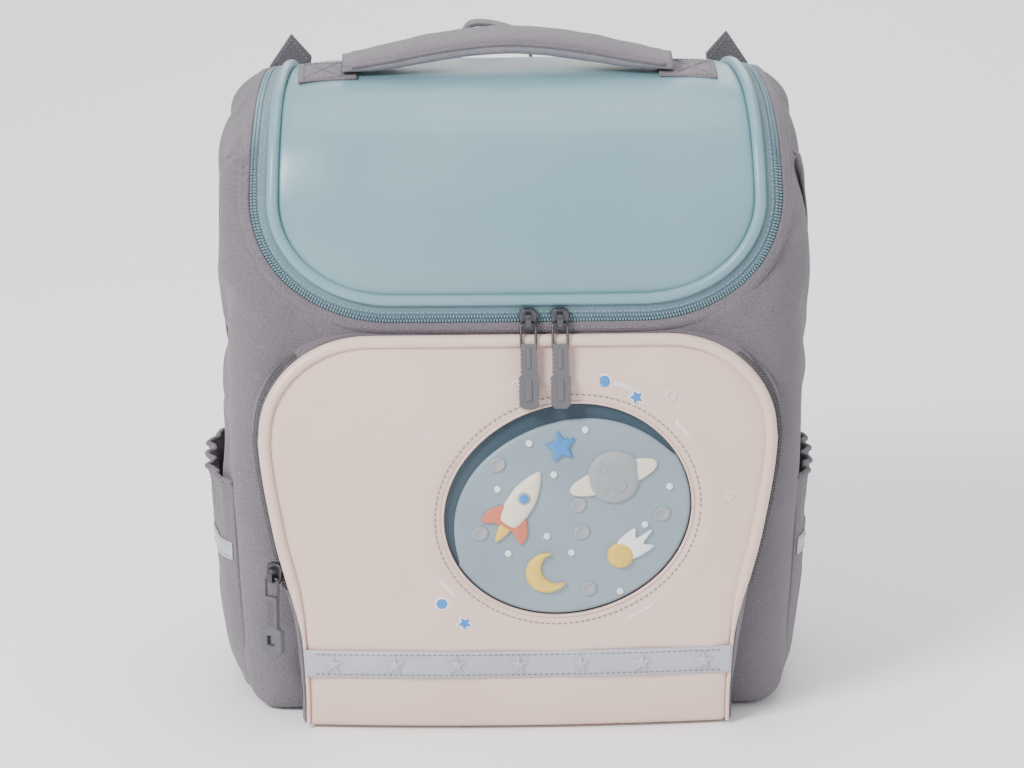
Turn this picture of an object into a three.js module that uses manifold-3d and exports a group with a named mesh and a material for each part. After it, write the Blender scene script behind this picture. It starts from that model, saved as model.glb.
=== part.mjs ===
// A child's school backpack (a ransel): a box-shaped twill body with a domed zip lid, a carrying
// handle, an arched front pocket with an oval picture window, two side pockets and padded straps.
// Millimetres, +Z up, the front of the bag faces -Y, the origin is the middle of its flat base.

import * as THREE from 'three';
import { mergeVertices } from 'three/addons/utils/BufferGeometryUtils.js';
import Module from 'manifold-3d';

const wasm = await Module();
wasm.setup();

// Main body
const bodyWidth = 330;
const bodyDepth = 150;
const bodyHeight = 366;
const bodyWall = 4;
const bodyEdgeRound = 28;
const faceCrown = 7;
const fitGap = 0.3;
const seamFromSide = 29;
const backSeamFromBack = 24;
const baseSeamHeight = 16;
const skinDepthOfCore = 42;

// Lid, measured along the skin of the body
const lidAbovePocket = 19;
const lidBackDrop = 22;
const lidHalfWidth = 139;
const lidBackNarrowing = 13;
const lidCornerWidth = 68;
const lidCornerHeight = 58;
const lidWall = 3;
const pipingRadius = 3.2;
const lidGussetWidth = 5;
const zipWidth = 5;
const zipWall = 1.8;
const lidEndGap = 1;

// Zip sliders and pulls
const sliderWidth = 11;
const sliderLength = 13;
const sliderThickness = 3.4;
const sliderShoulder = 3;
const sliderNose = 1.6;
const bridgeWidth = 3.6;
const bridgeHeight = 4.6;
const bridgeLength = 8.4;
const bridgeWall = 1.2;
const lidSliderMiddle = 15;
const lidSliderSpacing = 18;
const wireRadius = 0.8;
const wireLoopWidth = 8.4;
const wireLoopLength = 14;
const wireBend = 1.6;
const wireInRubber = 2;
const pullNeckWidth = 9.4;
const pullNeckLength = 17;
const pullBlockWidth = 11.6;
const pullBlockLength = 20;
const pullThickness = 4;
const pullRibDepth = 0.7;
const pullRibCount = 7;
const pullNotch = 1.4;
const pullChamfer = 2.4;
const pullFootLength = 2;
const pullBarWidth = 2.6;
const pullBarRise = 0.5;
const pullLean = 23;
const pocketPullNeck = 8;
const pocketPullBlock = 14.4;

// Handle
const handleLength = 190;
const handleMiddleX = -3;
const handleWidth = 36;
const handleThickness = 12;
const handleClearance = 8;
const handleMiddleY = 10;
const handleBandLength = 31;
const handleBandThickness = 1.6;
const handleBandOverlap = 4;

// Front pocket
const pocketHeight = 231;
const pocketFloor = 2;
const pocketHalfWidth = 147;
const pocketDepth = 27;
const pocketCrown = 5;
const pocketWall = 2.5;
const pocketCornerWidth = 62;
const pocketCornerHeight = 54;
const pocketPanelThickness = 3;
const pocketZipWidth = 6;
const pocketZipEnd = 84;
const pocketSliderHeight = 96;
const pocketPullTurn = 35;
const pocketSliderOut = 3.3;
const pocketSliderAside = 3;

// Picture window
const windowMiddleX = 28;
const windowMiddleZ = 134;
const windowHalfWidth = 71;
const windowHalfHeight = 62;
const windowTilt = 0.035;
const windowBorder = 6;
const windowBackThickness = 1.2;
const windowBackGap = 0.8;
const crescentWidth = 9.5;
const crescentTurn = 117;
const windowPlateThickness = 1;
const reliefHeight = 2.4;
const motifUnit = 1;

// Reflective strip
const stripFloor = 34;
const stripHeight = 17;
const stripThickness = 0.8;
const stripStarCount = 7;
const stripStarRadius = 5.2;
const stripStarRelief = 0.7;
const stripStarPitch = 35.5;

// Side pockets
const sidePocketFloor = 7;
const sidePocketHeight = 130;
const sidePocketBulgeLeft = 10;
const sidePocketBulgeRight = 5;
const sidePocketHalfDepth = 52;
const sidePocketWall = 2;
const sidePocketShift = -4;
const ruffleDepth = 1.7;
const ruffleCount = 5;
const sideTapeFloor = 88;
const sideTapeHeight = 11;
const sideTapeThickness = 0.8;

// Back, straps and webbing
const backPadThickness = 9;
const backPadHalfWidth = 118;
const backPadFloor = 40;
const backPadHeight = 262;
const strapWidth = 58;
const strapThickness = 11;
const strapTopX = 50;
const strapFootX = 84;
const strapTopHeight = 322;
const strapFootHeight = 118;
const strapBow = 26;
const webbingWidth = 24;
const webbingThickness = 1.8;
const webbingFootX = 128;
const webbingFootHeight = 26;
const hangLoopHeight = 14;
const hangLoopSpan = 46;
const hangLoopX = -8;
const cornerTabX = 128;
const cornerTabRise = 3;
const cornerTabLength = 40;

// Colours of the materials
const greyTwill = 0x8c878e;
const darkTwill = 0x6f6b73;
const blueSkin = 0xaabfcc;
const blueZipTape = 0x8fadbd;
const pinkSkin = 0xe2d8d7;
const sliderMetal = 0x696c73;
const pullRubber = 0x7d8087;
const slateBlue = 0x3f5c78;
const paleBlue = 0xa0b2c3;
const silverTape = 0xb9bfcb;
const creamRubber = 0xece4cf;
const yellowRubber = 0xe8c24a;
const blueRubber = 0x3f8fce;
const greyRubber = 0x9a9ea3;
const meshGrey = 0x8f8b98;

const bag = new THREE.Group();
const degrees = Math.PI / 180;
const lidLowEdge = pocketFloor + pocketHeight + lidAbovePocket;

// Helpers for solids

function positionsOnly(geometry) {
  const bare = geometry.clone();
  for (const name of Object.keys(bare.attributes)) {
    if (name !== 'position') {
      bare.deleteAttribute(name);
    }
  }
  return mergeVertices(bare, 1e-4);
}

function toSolid(geometry) {
  const merged = positionsOnly(geometry);
  const mesh = new wasm.Mesh({
    numProp: 3,
    vertProperties: new Float32Array(merged.attributes.position.array),
    triVerts: new Uint32Array(merged.index.array),
  });
  return new wasm.Manifold(mesh);
}

function toGeometry(solid) {
  const mesh = solid.getMesh();
  const geometry = new THREE.BufferGeometry();
  geometry.setAttribute('position', new THREE.BufferAttribute(mesh.vertProperties, 3));
  geometry.setIndex(new THREE.BufferAttribute(mesh.triVerts, 1));
  return geometry;
}

function join(geometries) {
  let solid = toSolid(geometries[0]);
  for (const geometry of geometries.slice(1)) {
    solid = solid.add(toSolid(geometry));
  }
  return toGeometry(solid);
}

function cut(geometry, cutters) {
  let solid = toSolid(geometry);
  for (const cutter of cutters) {
    solid = solid.subtract(toSolid(cutter));
  }
  return toGeometry(solid);
}

function common(geometry, other) {
  return toGeometry(toSolid(geometry).intersect(toSolid(other)));
}

function piece(name, geometry, color, roughness = 0.8, metalness = 0) {
  geometry.computeVertexNormals();
  const material = new THREE.MeshStandardMaterial({ color, roughness, metalness });
  const mesh = new THREE.Mesh(geometry, material);
  mesh.name = name;
  bag.add(mesh);
  return mesh;
}

// A closed geometry from points and faces of three or four corners, turned to face outwards.
function fromFaces(points, faces) {
  const triangles = [];
  for (const face of faces) {
    triangles.push([face[0], face[1], face[2]]);
    if (face.length === 4) {
      triangles.push([face[0], face[2], face[3]]);
    }
  }
  let volume = 0;
  const crossed = new THREE.Vector3();
  for (const [a, b, c] of triangles) {
    volume += points[a].dot(crossed.crossVectors(points[b], points[c]));
  }
  const ordered = volume > 0 ? triangles : triangles.map(([a, b, c]) => [a, c, b]);
  const geometry = new THREE.BufferGeometry().setFromPoints(points);
  geometry.setIndex(ordered.flat());
  return geometry;
}

// A solid lofted through closed rings of equal length. Looped rings come back to the first one.
function loftRings(rings, looped = false) {
  const around = rings[0].length;
  const points = rings.flat();
  const faces = [];
  const spans = looped ? rings.length : rings.length - 1;
  for (let i = 0; i < spans; i += 1) {
    const here = i * around;
    const next = ((i + 1) % rings.length) * around;
    for (let j = 0; j < around; j += 1) {
      const k = (j + 1) % around;
      faces.push([here + j, here + k, next + k, next + j]);
    }
  }
  if (!looped) {
    for (const [ring, start] of [[rings[0], 0], [rings.at(-1), (rings.length - 1) * around]]) {
      const middle = new THREE.Vector3();
      ring.forEach((point) => middle.addScaledVector(point, 1 / around));
      const centre = points.push(middle) - 1;
      for (let j = 0; j < around; j += 1) {
        const k = (j + 1) % around;
        faces.push(start === 0 ? [centre, start + k, start + j] : [centre, start + j, start + k]);
      }
    }
  }
  return fromFaces(points, faces);
}

// A sheet with thickness between two grids of points of the same size.
function sheetBetween(front, back) {
  const rows = front.length;
  const columns = front[0].length;
  const points = [...front.flat(), ...back.flat()];
  const behind = rows * columns;
  const at = (row, column) => row * columns + column;
  const faces = [];
  for (let i = 0; i + 1 < rows; i += 1) {
    for (let j = 0; j + 1 < columns; j += 1) {
      const quad = [at(i, j), at(i, j + 1), at(i + 1, j + 1), at(i + 1, j)];
      faces.push(quad);
      faces.push(quad.map((index) => index + behind).reverse());
    }
  }
  const rim = [];
  for (let j = 0; j + 1 < columns; j += 1) {
    rim.push(at(0, j));
  }
  for (let i = 0; i + 1 < rows; i += 1) {
    rim.push(at(i, columns - 1));
  }
  for (let j = columns - 1; j > 0; j -= 1) {
    rim.push(at(rows - 1, j));
  }
  for (let i = rows - 1; i > 0; i -= 1) {
    rim.push(at(i, 0));
  }
  rim.forEach((index, i) => {
    const next = rim[(i + 1) % rim.length];
    faces.push([next, index, index + behind, next + behind]);
  });
  return fromFaces(points, faces);
}

// Helpers for tables

function smoothStep(t, before, from, to, after) {
  const leave = (to - before) / 2;
  const arrive = (after - from) / 2;
  const cubic = (2 * from - 2 * to + leave + arrive) * t ** 3;
  const square = (3 * to - 3 * from - 2 * leave - arrive) * t ** 2;
  return cubic + square + leave * t + from;
}

// Reads a table of rows between its first row (place 0) and its last (place 1).
function readTable(rows, place) {
  const at = place * (rows.length - 1);
  const index = Math.min(Math.floor(at), rows.length - 2);
  const row = (offset) => rows[Math.min(Math.max(index + offset, 0), rows.length - 1)];
  const result = {};
  for (const column of Object.keys(rows[0])) {
    const values = [-1, 0, 1, 2].map((offset) => row(offset)[column]);
    result[column] = smoothStep(at - index, ...values);
  }
  return result;
}

// Reads a column at a value of the table's first column, which grows from row to row.
function lookUp(rows, key, value, column) {
  const last = rows.length - 1;
  const kept = Math.min(Math.max(value, rows[0][key]), rows[last][key]);
  const above = Math.max(1, rows.findIndex((row) => row[key] >= kept));
  const from = rows[above - 1];
  const to = rows[above];
  const before = rows[Math.max(above - 2, 0)];
  const after = rows[Math.min(above + 1, last)];
  const t = (kept - from[key]) / (to[key] - from[key]);
  return smoothStep(t, before[column], from[column], to[column], after[column]);
}

// The skin of the main body. Each row is a point of its side view, from the front of the base up
// the front, over the top and down the back: y as a share of half the depth, z as a share of the
// height, the rounding towards the sides as a share of bodyEdgeRound, and the crown in the middle
// as a share of faceCrown.
const profileRows = [
  { y: -0.84, z: 0.0, round: 0.5, crown: 0 },
  { y: -0.95, z: 0.012, round: 0.7, crown: 0.1 },
  { y: -1.0, z: 0.06, round: 0.9, crown: 0.2 },
  { y: -1.0, z: 0.25, round: 1.0, crown: 0.35 },
  { y: -1.0, z: 0.5, round: 1.0, crown: 0.35 },
  { y: -0.99, z: 0.66, round: 1.0, crown: 0.5 },
  { y: -0.95, z: 0.76, round: 1.05, crown: 0.8 },
  { y: -0.85, z: 0.855, round: 1.1, crown: 1.0 },
  { y: -0.63, z: 0.925, round: 1.2, crown: 1.0 },
  { y: -0.28, z: 0.968, round: 1.3, crown: 1.0 },
  { y: 0.15, z: 0.98, round: 1.3, crown: 0.95 },
  { y: 0.55, z: 0.975, round: 1.2, crown: 0.8 },
  { y: 0.86, z: 0.955, round: 1.1, crown: 0.35 },
  { y: 0.99, z: 0.9, round: 0.9, crown: 0 },
  { y: 1.0, z: 0.8, round: 0.7, crown: 0 },
  { y: 1.0, z: 0.45, round: 0.6, crown: 0 },
  { y: 1.0, z: 0.1, round: 0.6, crown: 0 },
  { y: 0.96, z: 0.02, round: 0.55, crown: 0 },
  { y: 0.86, z: 0.0, round: 0.5, crown: 0 },
];

// The width of the body at each height, as shares of the height and of bodyWidth.
const widthRows = [
  { z: 0, width: 0.935 },
  { z: 0.08, width: 0.96 },
  { z: 0.2, width: 0.98 },
  { z: 0.4, width: 1.0 },
  { z: 0.7, width: 1.0 },
  { z: 1.0, width: 0.985 },
];

function profileAt(place) {
  const row = readTable(profileRows, place);
  const y = Math.min(Math.max(row.y, -1), 1) * bodyDepth / 2;
  const z = Math.max(row.z, 0) * bodyHeight;
  const coreY = Math.min(Math.max(y, skinDepthOfCore - bodyDepth / 2), bodyDepth / 2 - skinDepthOfCore);
  const coreZ = Math.min(Math.max(z, skinDepthOfCore), bodyHeight - skinDepthOfCore);
  const inward = new THREE.Vector2(coreY - y, coreZ - z).normalize();
  return { y, z, inward, round: row.round * bodyEdgeRound, crown: row.crown * faceCrown };
}

// The point of the skin at x on one row of the profile, sunk into the body by depth.
function skinPoint(row, x, depth = 0) {
  const flatHalf = bodyWidth / 2 - row.round;
  const past = Math.max(0, Math.abs(x) - flatHalf);
  const turn = Math.asin(Math.min(1, past / row.round));
  const crown = row.crown * (1 - (2 * x / bodyWidth) ** 2);
  const inset = row.round * (1 - Math.cos(turn)) + depth * Math.cos(turn) - crown;
  const y = row.y + row.inward.x * inset;
  const z = row.z + row.inward.y * inset;
  const across = Math.sign(x) * (Math.abs(x) - depth * Math.sin(turn));
  const width = lookUp(widthRows, 'z', z / bodyHeight, 'width');
  return new THREE.Vector3(across * width, y, z);
}

const profileSteps = 2 * (profileRows.length - 1);
const edgeTurns = [90, 60, 30, 0];

// The whole body as one solid, sunk by depth all over.
function bodyForm(depth) {
  const rings = [];
  const stations = [
    ...edgeTurns.map((turn) => ({ side: -1, turn })),
    { side: 0, turn: 0 },
    ...edgeTurns.toReversed().map((turn) => ({ side: 1, turn })),
  ];
  for (const { side, turn } of stations) {
    const ring = [];
    for (let i = 0; i <= profileSteps; i += 1) {
      const row = profileAt(i / profileSteps);
      const x = side * (bodyWidth / 2 - row.round * (1 - Math.sin(turn * degrees)));
      ring.push(skinPoint(row, x, depth));
    }
    rings.push(ring);
  }
  return loftRings(rings);
}

// Lengths along the side view, so that the lid can be laid out flat and wrapped on the body.
const fineSteps = 400;
const fineProfile = [];
for (let i = 0; i <= fineSteps; i += 1) {
  const row = profileAt(i / fineSteps);
  const last = fineProfile.at(-1);
  const length = last ? last.length + Math.hypot(row.y - last.y, row.z - last.z) : 0;
  fineProfile.push({ y: row.y, z: row.z, length, place: i / fineSteps });
}
const lidStart = fineProfile.find((row) => row.z >= lidLowEdge).length;
const lidEnd = fineProfile.find((row) => row.y > 0 && row.z <= bodyHeight - lidBackDrop).length;

function profileAtLength(length) {
  const index = Math.max(1, fineProfile.findIndex((row) => row.length >= length));
  const from = fineProfile[index - 1];
  const to = fineProfile[index];
  const t = (length - from.length) / (to.length - from.length);
  return profileAt(from.place + (to.place - from.place) * t);
}

// Moves each point of an open flat path sideways, to its right hand for a positive distance.
function offsetPath(path, distance) {
  return path.map((point, i) => {
    const before = path[Math.max(i - 1, 0)];
    const after = path[Math.min(i + 1, path.length - 1)];
    const along = new THREE.Vector2(after.x - before.x, after.y - before.y).normalize();
    return new THREE.Vector2(point.x + along.y * distance, point.y - along.x * distance);
  });
}

// A flat path and its mirror image, from the left end to the right end.
function mirrored(half) {
  const left = half.map((point) => new THREE.Vector2(-point.x, point.y)).reverse();
  return [...left, ...half];
}

const cornerSteps = 6;
const quarter = Math.PI / 2;

// The seam of the lid laid flat: x across, y the length along the profile from the lower edge.
function lidSeam() {
  const half = [];
  for (let i = 0; i <= cornerSteps; i += 1) {
    const turn = quarter * i / cornerSteps;
    const x = lidHalfWidth - lidCornerWidth * (1 - Math.sin(turn));
    half.push(new THREE.Vector2(x, lidCornerHeight * (1 - Math.cos(turn))));
  }
  const sideSteps = 12;
  const sideLength = lidEnd - lidStart - lidCornerHeight;
  for (let i = 1; i <= sideSteps; i += 1) {
    const share = i / sideSteps;
    const x = lidHalfWidth - lidBackNarrowing * share ** 2;
    half.push(new THREE.Vector2(x, lidCornerHeight + sideLength * share));
  }
  return mirrored(half);
}

function onSkin(flat, depth) {
  return skinPoint(profileAtLength(lidStart + flat.y), flat.x, depth);
}

const lidPath = lidSeam();
const columnShares = [-1, -0.9, -0.5, 0, 0.5, 0.9, 1];

// A plate over the top of the body whose edge follows the lid seam at a distance outside it.
function lidPlate(outside, top, bottom, lengthening = 0) {
  const path = offsetPath(lidPath, outside);
  const rows = path.slice(path.length / 2);
  if (lengthening !== 0) {
    rows.at(-1).y += lengthening;
  }
  const grid = (depth) => rows.map((edge) => (
    columnShares.map((share) => onSkin(new THREE.Vector2(edge.x * share, edge.y), depth))
  ));
  return sheetBetween(grid(top), grid(bottom));
}

// A band that follows the lid seam between two distances outside it.
function lidBand(from, to, top, bottom, lengthening = 0) {
  const inner = offsetPath(lidPath, from);
  const outer = offsetPath(lidPath, to);
  for (const end of [inner[0], outer[0], inner.at(-1), outer.at(-1)]) {
    end.y += lengthening;
  }
  const rings = inner.map((point, i) => [
    onSkin(point, top),
    onSkin(outer[i], top),
    onSkin(outer[i], bottom),
    onSkin(point, bottom),
  ]);
  return loftRings(rings);
}

// A round cord laid along points, with a given number of sides.
function roundCord(points, radius, sides, ups) {
  const rings = points.map((point, i) => {
    const before = points[Math.max(i - 1, 0)];
    const after = points[Math.min(i + 1, points.length - 1)];
    const along = new THREE.Vector3().subVectors(after, before).normalize();
    const across = new THREE.Vector3().crossVectors(along, ups[i]).normalize();
    const up = new THREE.Vector3().crossVectors(across, along);
    const ring = [];
    for (let j = 0; j < sides; j += 1) {
      const turn = 2 * Math.PI * j / sides;
      const corner = point.clone().addScaledVector(across, radius * Math.cos(turn));
      ring.push(corner.addScaledVector(up, radius * Math.sin(turn)));
    }
    return ring;
  });
  return loftRings(rings);
}

const pipingGap = pipingRadius + fitGap;
const gussetEdge = pipingGap + lidGussetWidth;
const zipEdge = gussetEdge + fitGap + zipWidth;

function buildBody() {
  const opening = lidPlate(zipEdge, -bodyWall, 6 * bodyWall, lidEndGap);
  const rim = lidBand(gussetEdge, zipEdge + fitGap, -1, bodyWall + 1, lidEndGap);
  const shell = cut(bodyForm(0), [bodyForm(bodyWall), opening, rim]);
  const reach = 2 * bodyHeight;
  const sideSeam = bodyWidth / 2 - seamFromSide;
  const backSeam = bodyDepth / 2 - backSeamFromBack;
  const box = (low, high) => {
    const size = new THREE.Vector3().subVectors(high, low);
    const geometry = new THREE.BoxGeometry(size.x, size.y, size.z);
    return geometry.translate(low.x + size.x / 2, low.y + size.y / 2, low.z + size.z / 2);
  };
  const corner = (x, y, z) => new THREE.Vector3(x, y, z);
  const frontLimit = backSeam - fitGap;
  const back = box(corner(-reach, backSeam, -reach), corner(reach, reach, reach));
  piece('body_back', common(shell, back), greyTwill, 0.9);
  const left = box(corner(-reach, -reach, -reach), corner(-sideSeam, frontLimit, reach));
  piece('body_side_left', common(shell, left), greyTwill, 0.9);
  const right = box(corner(sideSeam, -reach, -reach), corner(reach, frontLimit, reach));
  piece('body_side_right', common(shell, right), greyTwill, 0.9);
  const inner = sideSeam - fitGap;
  const base = box(corner(-inner, -reach, -reach), corner(inner, frontLimit, baseSeamHeight));
  piece('body_base', common(shell, base), greyTwill, 0.9);
  const frontLow = corner(-inner, -reach, baseSeamHeight + fitGap);
  const front = box(frontLow, corner(inner, frontLimit, reach));
  piece('body_front', common(shell, front), greyTwill, 0.9);
}

function buildLid() {
  piece('lid_panel', lidPlate(-pipingGap, 0, lidWall), blueSkin, 0.5);
  const centre = lidPath.map((point) => onSkin(point, 0));
  const ups = lidPath.map((point, i) => centre[i].clone().sub(onSkin(point, 1)).normalize());
  piece('lid_piping', roundCord(centre, pipingRadius, 6, ups), blueSkin, 0.4);
  piece('lid_gusset', lidBand(pipingGap, gussetEdge, 0, lidWall), blueZipTape, 0.85);
  piece('lid_zip', lidBand(gussetEdge + fitGap, zipEdge, 0, zipWall), blueZipTape, 0.6);
}

// Front pocket. Each row is a height as a share of pocketHeight, the half width as a share of
// pocketHalfWidth, how far the panel stands off the body as a share of pocketDepth, and its crown.
const pocketRows = [
  { z: 0, width: 0.845, depth: 0.8, crown: 1.1 },
  { z: 0.12, width: 0.847, depth: 0.94, crown: 1.1 },
  { z: 0.3, width: 0.872, depth: 1.0, crown: 0.9 },
  { z: 0.5, width: 0.945, depth: 0.97, crown: 1.0 },
  { z: 0.72, width: 1.0, depth: 0.8, crown: 0.9 },
  { z: 0.88, width: 1.0, depth: 0.52, crown: 0.5 },
  { z: 1.0, width: 0.99, depth: 0.28, crown: 0 },
];

function pocketRow(z, column) {
  return lookUp(pocketRows, 'z', (z - pocketFloor) / pocketHeight, column);
}

// The front of the pocket panel at x and z, sunk by depth.
function pocketPoint(x, z, depth = 0) {
  const half = pocketHalfWidth * pocketRow(z, 'width');
  const crown = pocketCrown * pocketRow(z, 'crown') * Math.max(0, 1 - (x / half) ** 2);
  const y = -bodyDepth / 2 - pocketDepth * pocketRow(z, 'depth') - crown + depth;
  return new THREE.Vector3(x, y, z);
}

// The outline of the pocket from its left foot, up over the arch and down to its right foot.
function pocketOutline() {
  const half = [];
  const top = pocketFloor + pocketHeight;
  const shoulder = top - pocketCornerHeight;
  const atShoulder = pocketHalfWidth * pocketRow(shoulder, 'width');
  for (let i = 0; i <= cornerSteps; i += 1) {
    const turn = quarter * i / cornerSteps;
    const x = atShoulder - pocketCornerWidth * (1 - Math.sin(turn));
    half.push(new THREE.Vector2(x, top - pocketCornerHeight * (1 - Math.cos(turn))));
  }
  const sideSteps = 9;
  for (let i = 1; i <= sideSteps; i += 1) {
    const z = shoulder + (pocketFloor - shoulder) * i / sideSteps;
    half.push(new THREE.Vector2(pocketHalfWidth * pocketRow(z, 'width'), z));
  }
  return mirrored(half);
}

const pocketPath = pocketOutline();

// A plate that follows the front of the pocket, its edge set in from the outline.
function pocketPlate(inset, front, back) {
  const path = offsetPath(pocketPath, inset);
  const rows = path.slice(path.length / 2);
  const grid = (depth) => rows.map((edge) => (
    columnShares.map((share) => pocketPoint(edge.x * share, edge.y, depth))
  ));
  return sheetBetween(grid(front), grid(back));
}

// A wall that follows the outline of the pocket between two insets, from one depth to another.
function pocketBand(path, from, to, front, back) {
  const outer = offsetPath(path, from);
  const inner = offsetPath(path, to);
  return outer.map((point, i) => [
    pocketPoint(point.x, point.y, front),
    pocketPoint(point.x, point.y, back),
    pocketPoint(inner[i].x, inner[i].y, back),
    pocketPoint(inner[i].x, inner[i].y, front),
  ]);
}

// The rim of the picture window, or a rim inside or outside it, as points round its middle.
function windowRim(outside, crescent = 0) {
  const rimSteps = 28;
  const rim = [];
  for (let i = 0; i < rimSteps; i += 1) {
    const turn = 2 * Math.PI * i / rimSteps;
    const across = Math.cos(turn) / windowHalfWidth;
    const up = Math.sin(turn) / windowHalfHeight;
    const oval = (1 + windowTilt * Math.sin(2 * turn)) / Math.hypot(across, up);
    const shade = Math.max(0, Math.cos(turn - crescentTurn * degrees)) ** 0.6;
    const radius = oval + outside - crescent * shade;
    const x = windowMiddleX + radius * Math.cos(turn);
    rim.push(new THREE.Vector2(x, windowMiddleZ + radius * Math.sin(turn)));
  }
  return rim;
}

// A solid on the pocket panel inside a rim. Each step is a share of the way out from the middle
// and its rise over the base, from the rim inwards; the last step is the middle itself.
function relief(rim, middle, base, steps) {
  const around = rim.length;
  const points = rim.map((corner) => pocketPoint(corner.x, corner.y, base));
  const faces = [];
  const rings = steps.slice(0, -1);
  for (const { share, rise } of rings) {
    for (const corner of rim) {
      const place = corner.clone().sub(middle).multiplyScalar(share).add(middle);
      points.push(pocketPoint(place.x, place.y, base - rise));
    }
  }
  const bottom = points.push(pocketPoint(middle.x, middle.y, base)) - 1;
  const top = points.push(pocketPoint(middle.x, middle.y, base - steps.at(-1).rise)) - 1;
  for (let j = 0; j < around; j += 1) {
    const k = (j + 1) % around;
    faces.push([bottom, k, j]);
    for (let i = 0; i < rings.length; i += 1) {
      const here = i * around;
      faces.push([here + j, here + k, here + around + k, here + around + j]);
    }
    faces.push([rings.length * around + j, rings.length * around + k, top]);
  }
  return fromFaces(points, faces);
}

// An even plate inside a rim that follows the pocket panel between two depths.
function inlay(rim, middle, front, back) {
  const shares = [0.35, 0.7, 1];
  const ringAt = (share, depth) => rim.map((corner) => {
    const place = corner.clone().sub(middle).multiplyScalar(share).add(middle);
    return pocketPoint(place.x, place.y, depth);
  });
  const behind = shares.map((share) => ringAt(share, back));
  const before = shares.toReversed().map((share) => ringAt(share, front));
  return loftRings([...behind, ...before]);
}

// Rims of the motifs, in units of their plan.
function ovalRim(x, z, halfWidth, halfHeight, sides, tilt = 0) {
  const rim = [];
  const middle = new THREE.Vector2(x, z);
  for (let i = 0; i < sides; i += 1) {
    const turn = 2 * Math.PI * i / sides;
    const corner = new THREE.Vector2(halfWidth * Math.cos(turn), halfHeight * Math.sin(turn));
    corner.multiplyScalar(motifUnit).rotateAround(new THREE.Vector2(), tilt * degrees);
    rim.push(corner.add(middle));
  }
  return rim;
}

function starRim(x, z, radius, waist, tilt = 0) {
  const rim = [];
  for (let i = 0; i < 10; i += 1) {
    const turn = (90 + tilt + 36 * i) * degrees;
    const reach = i % 2 === 0 ? radius : radius * waist;
    rim.push(new THREE.Vector2(x + reach * Math.cos(turn), z + reach * Math.sin(turn)));
  }
  return rim;
}

// A flat shape drawn on the front view as an upright slab between two places along Y.
function frontSlab(rim, nearY, farY) {
  const slab = new THREE.ExtrudeGeometry(new THREE.Shape(rim), {
    depth: farY - nearY,
    bevelEnabled: false,
  });
  return slab.rotateX(quarter).translate(0, farY, 0);
}

function buildPocket() {
  const windowHole = frontSlab(windowRim(0), -2 * bodyDepth, 0);
  const panel = cut(pocketPlate(2 * pipingRadius + fitGap, 0, pocketPanelThickness), [windowHole]);
  piece('pocket_panel', panel, pinkSkin, 0.5);

  const seam = offsetPath(pocketPath, pipingRadius);
  const half = pocketPanelThickness / 2;
  const centre = seam.map((point) => pocketPoint(point.x, point.y, half));
  const ups = seam.map(() => new THREE.Vector3(0, -1, 0));
  piece('pocket_piping', roundCord(centre, pipingRadius, 6, ups), pinkSkin, 0.4);

  const gussetFront = half + pipingRadius + fitGap;
  const zipInset = zipWall + fitGap;
  const wall = pocketBand(pocketPath, zipInset, zipInset + pocketWall, gussetFront, bodyDepth / 2);
  const gusset = cut(loftRings(wall, true), [bodyForm(-fitGap)]);
  piece('pocket_gusset', gusset, greyTwill, 0.9);

  const zipTop = pocketFloor + pocketHeight - pocketCornerHeight / 2;
  for (const [side, name] of [[-1, 'left'], [1, 'right']]) {
    const foot = side * pocketHalfWidth * pocketRow(pocketZipEnd, 'width');
    const path = pocketPath.filter((point) => (
      point.x * side > 0 && point.y > pocketZipEnd && point.y < zipTop
    ));
    path[side < 0 ? 'unshift' : 'push'](new THREE.Vector2(foot, pocketZipEnd));
    const band = pocketBand(path, 0, zipWall, gussetFront, gussetFront + pocketZipWidth);
    piece(`pocket_zip_${name}`, loftRings(band), darkTwill, 0.6);
  }
}

function buildWindow() {
  const middle = new THREE.Vector2(windowMiddleX, windowMiddleZ);
  const backFront = pocketPanelThickness + windowBackGap;
  const back = inlay(windowRim(windowBorder), middle, backFront, backFront + windowBackThickness);
  piece('window_back', back, slateBlue, 0.55);
  const plateBack = backFront - 2 * fitGap;
  const plateFront = plateBack - windowPlateThickness;
  const plate = inlay(windowRim(-2 * fitGap, crescentWidth), middle, plateFront, plateBack);
  piece('window_plate', plate, paleBlue, 0.5);
  const base = plateFront - fitGap;
  buildMotifs(middle, base);
}

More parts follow.
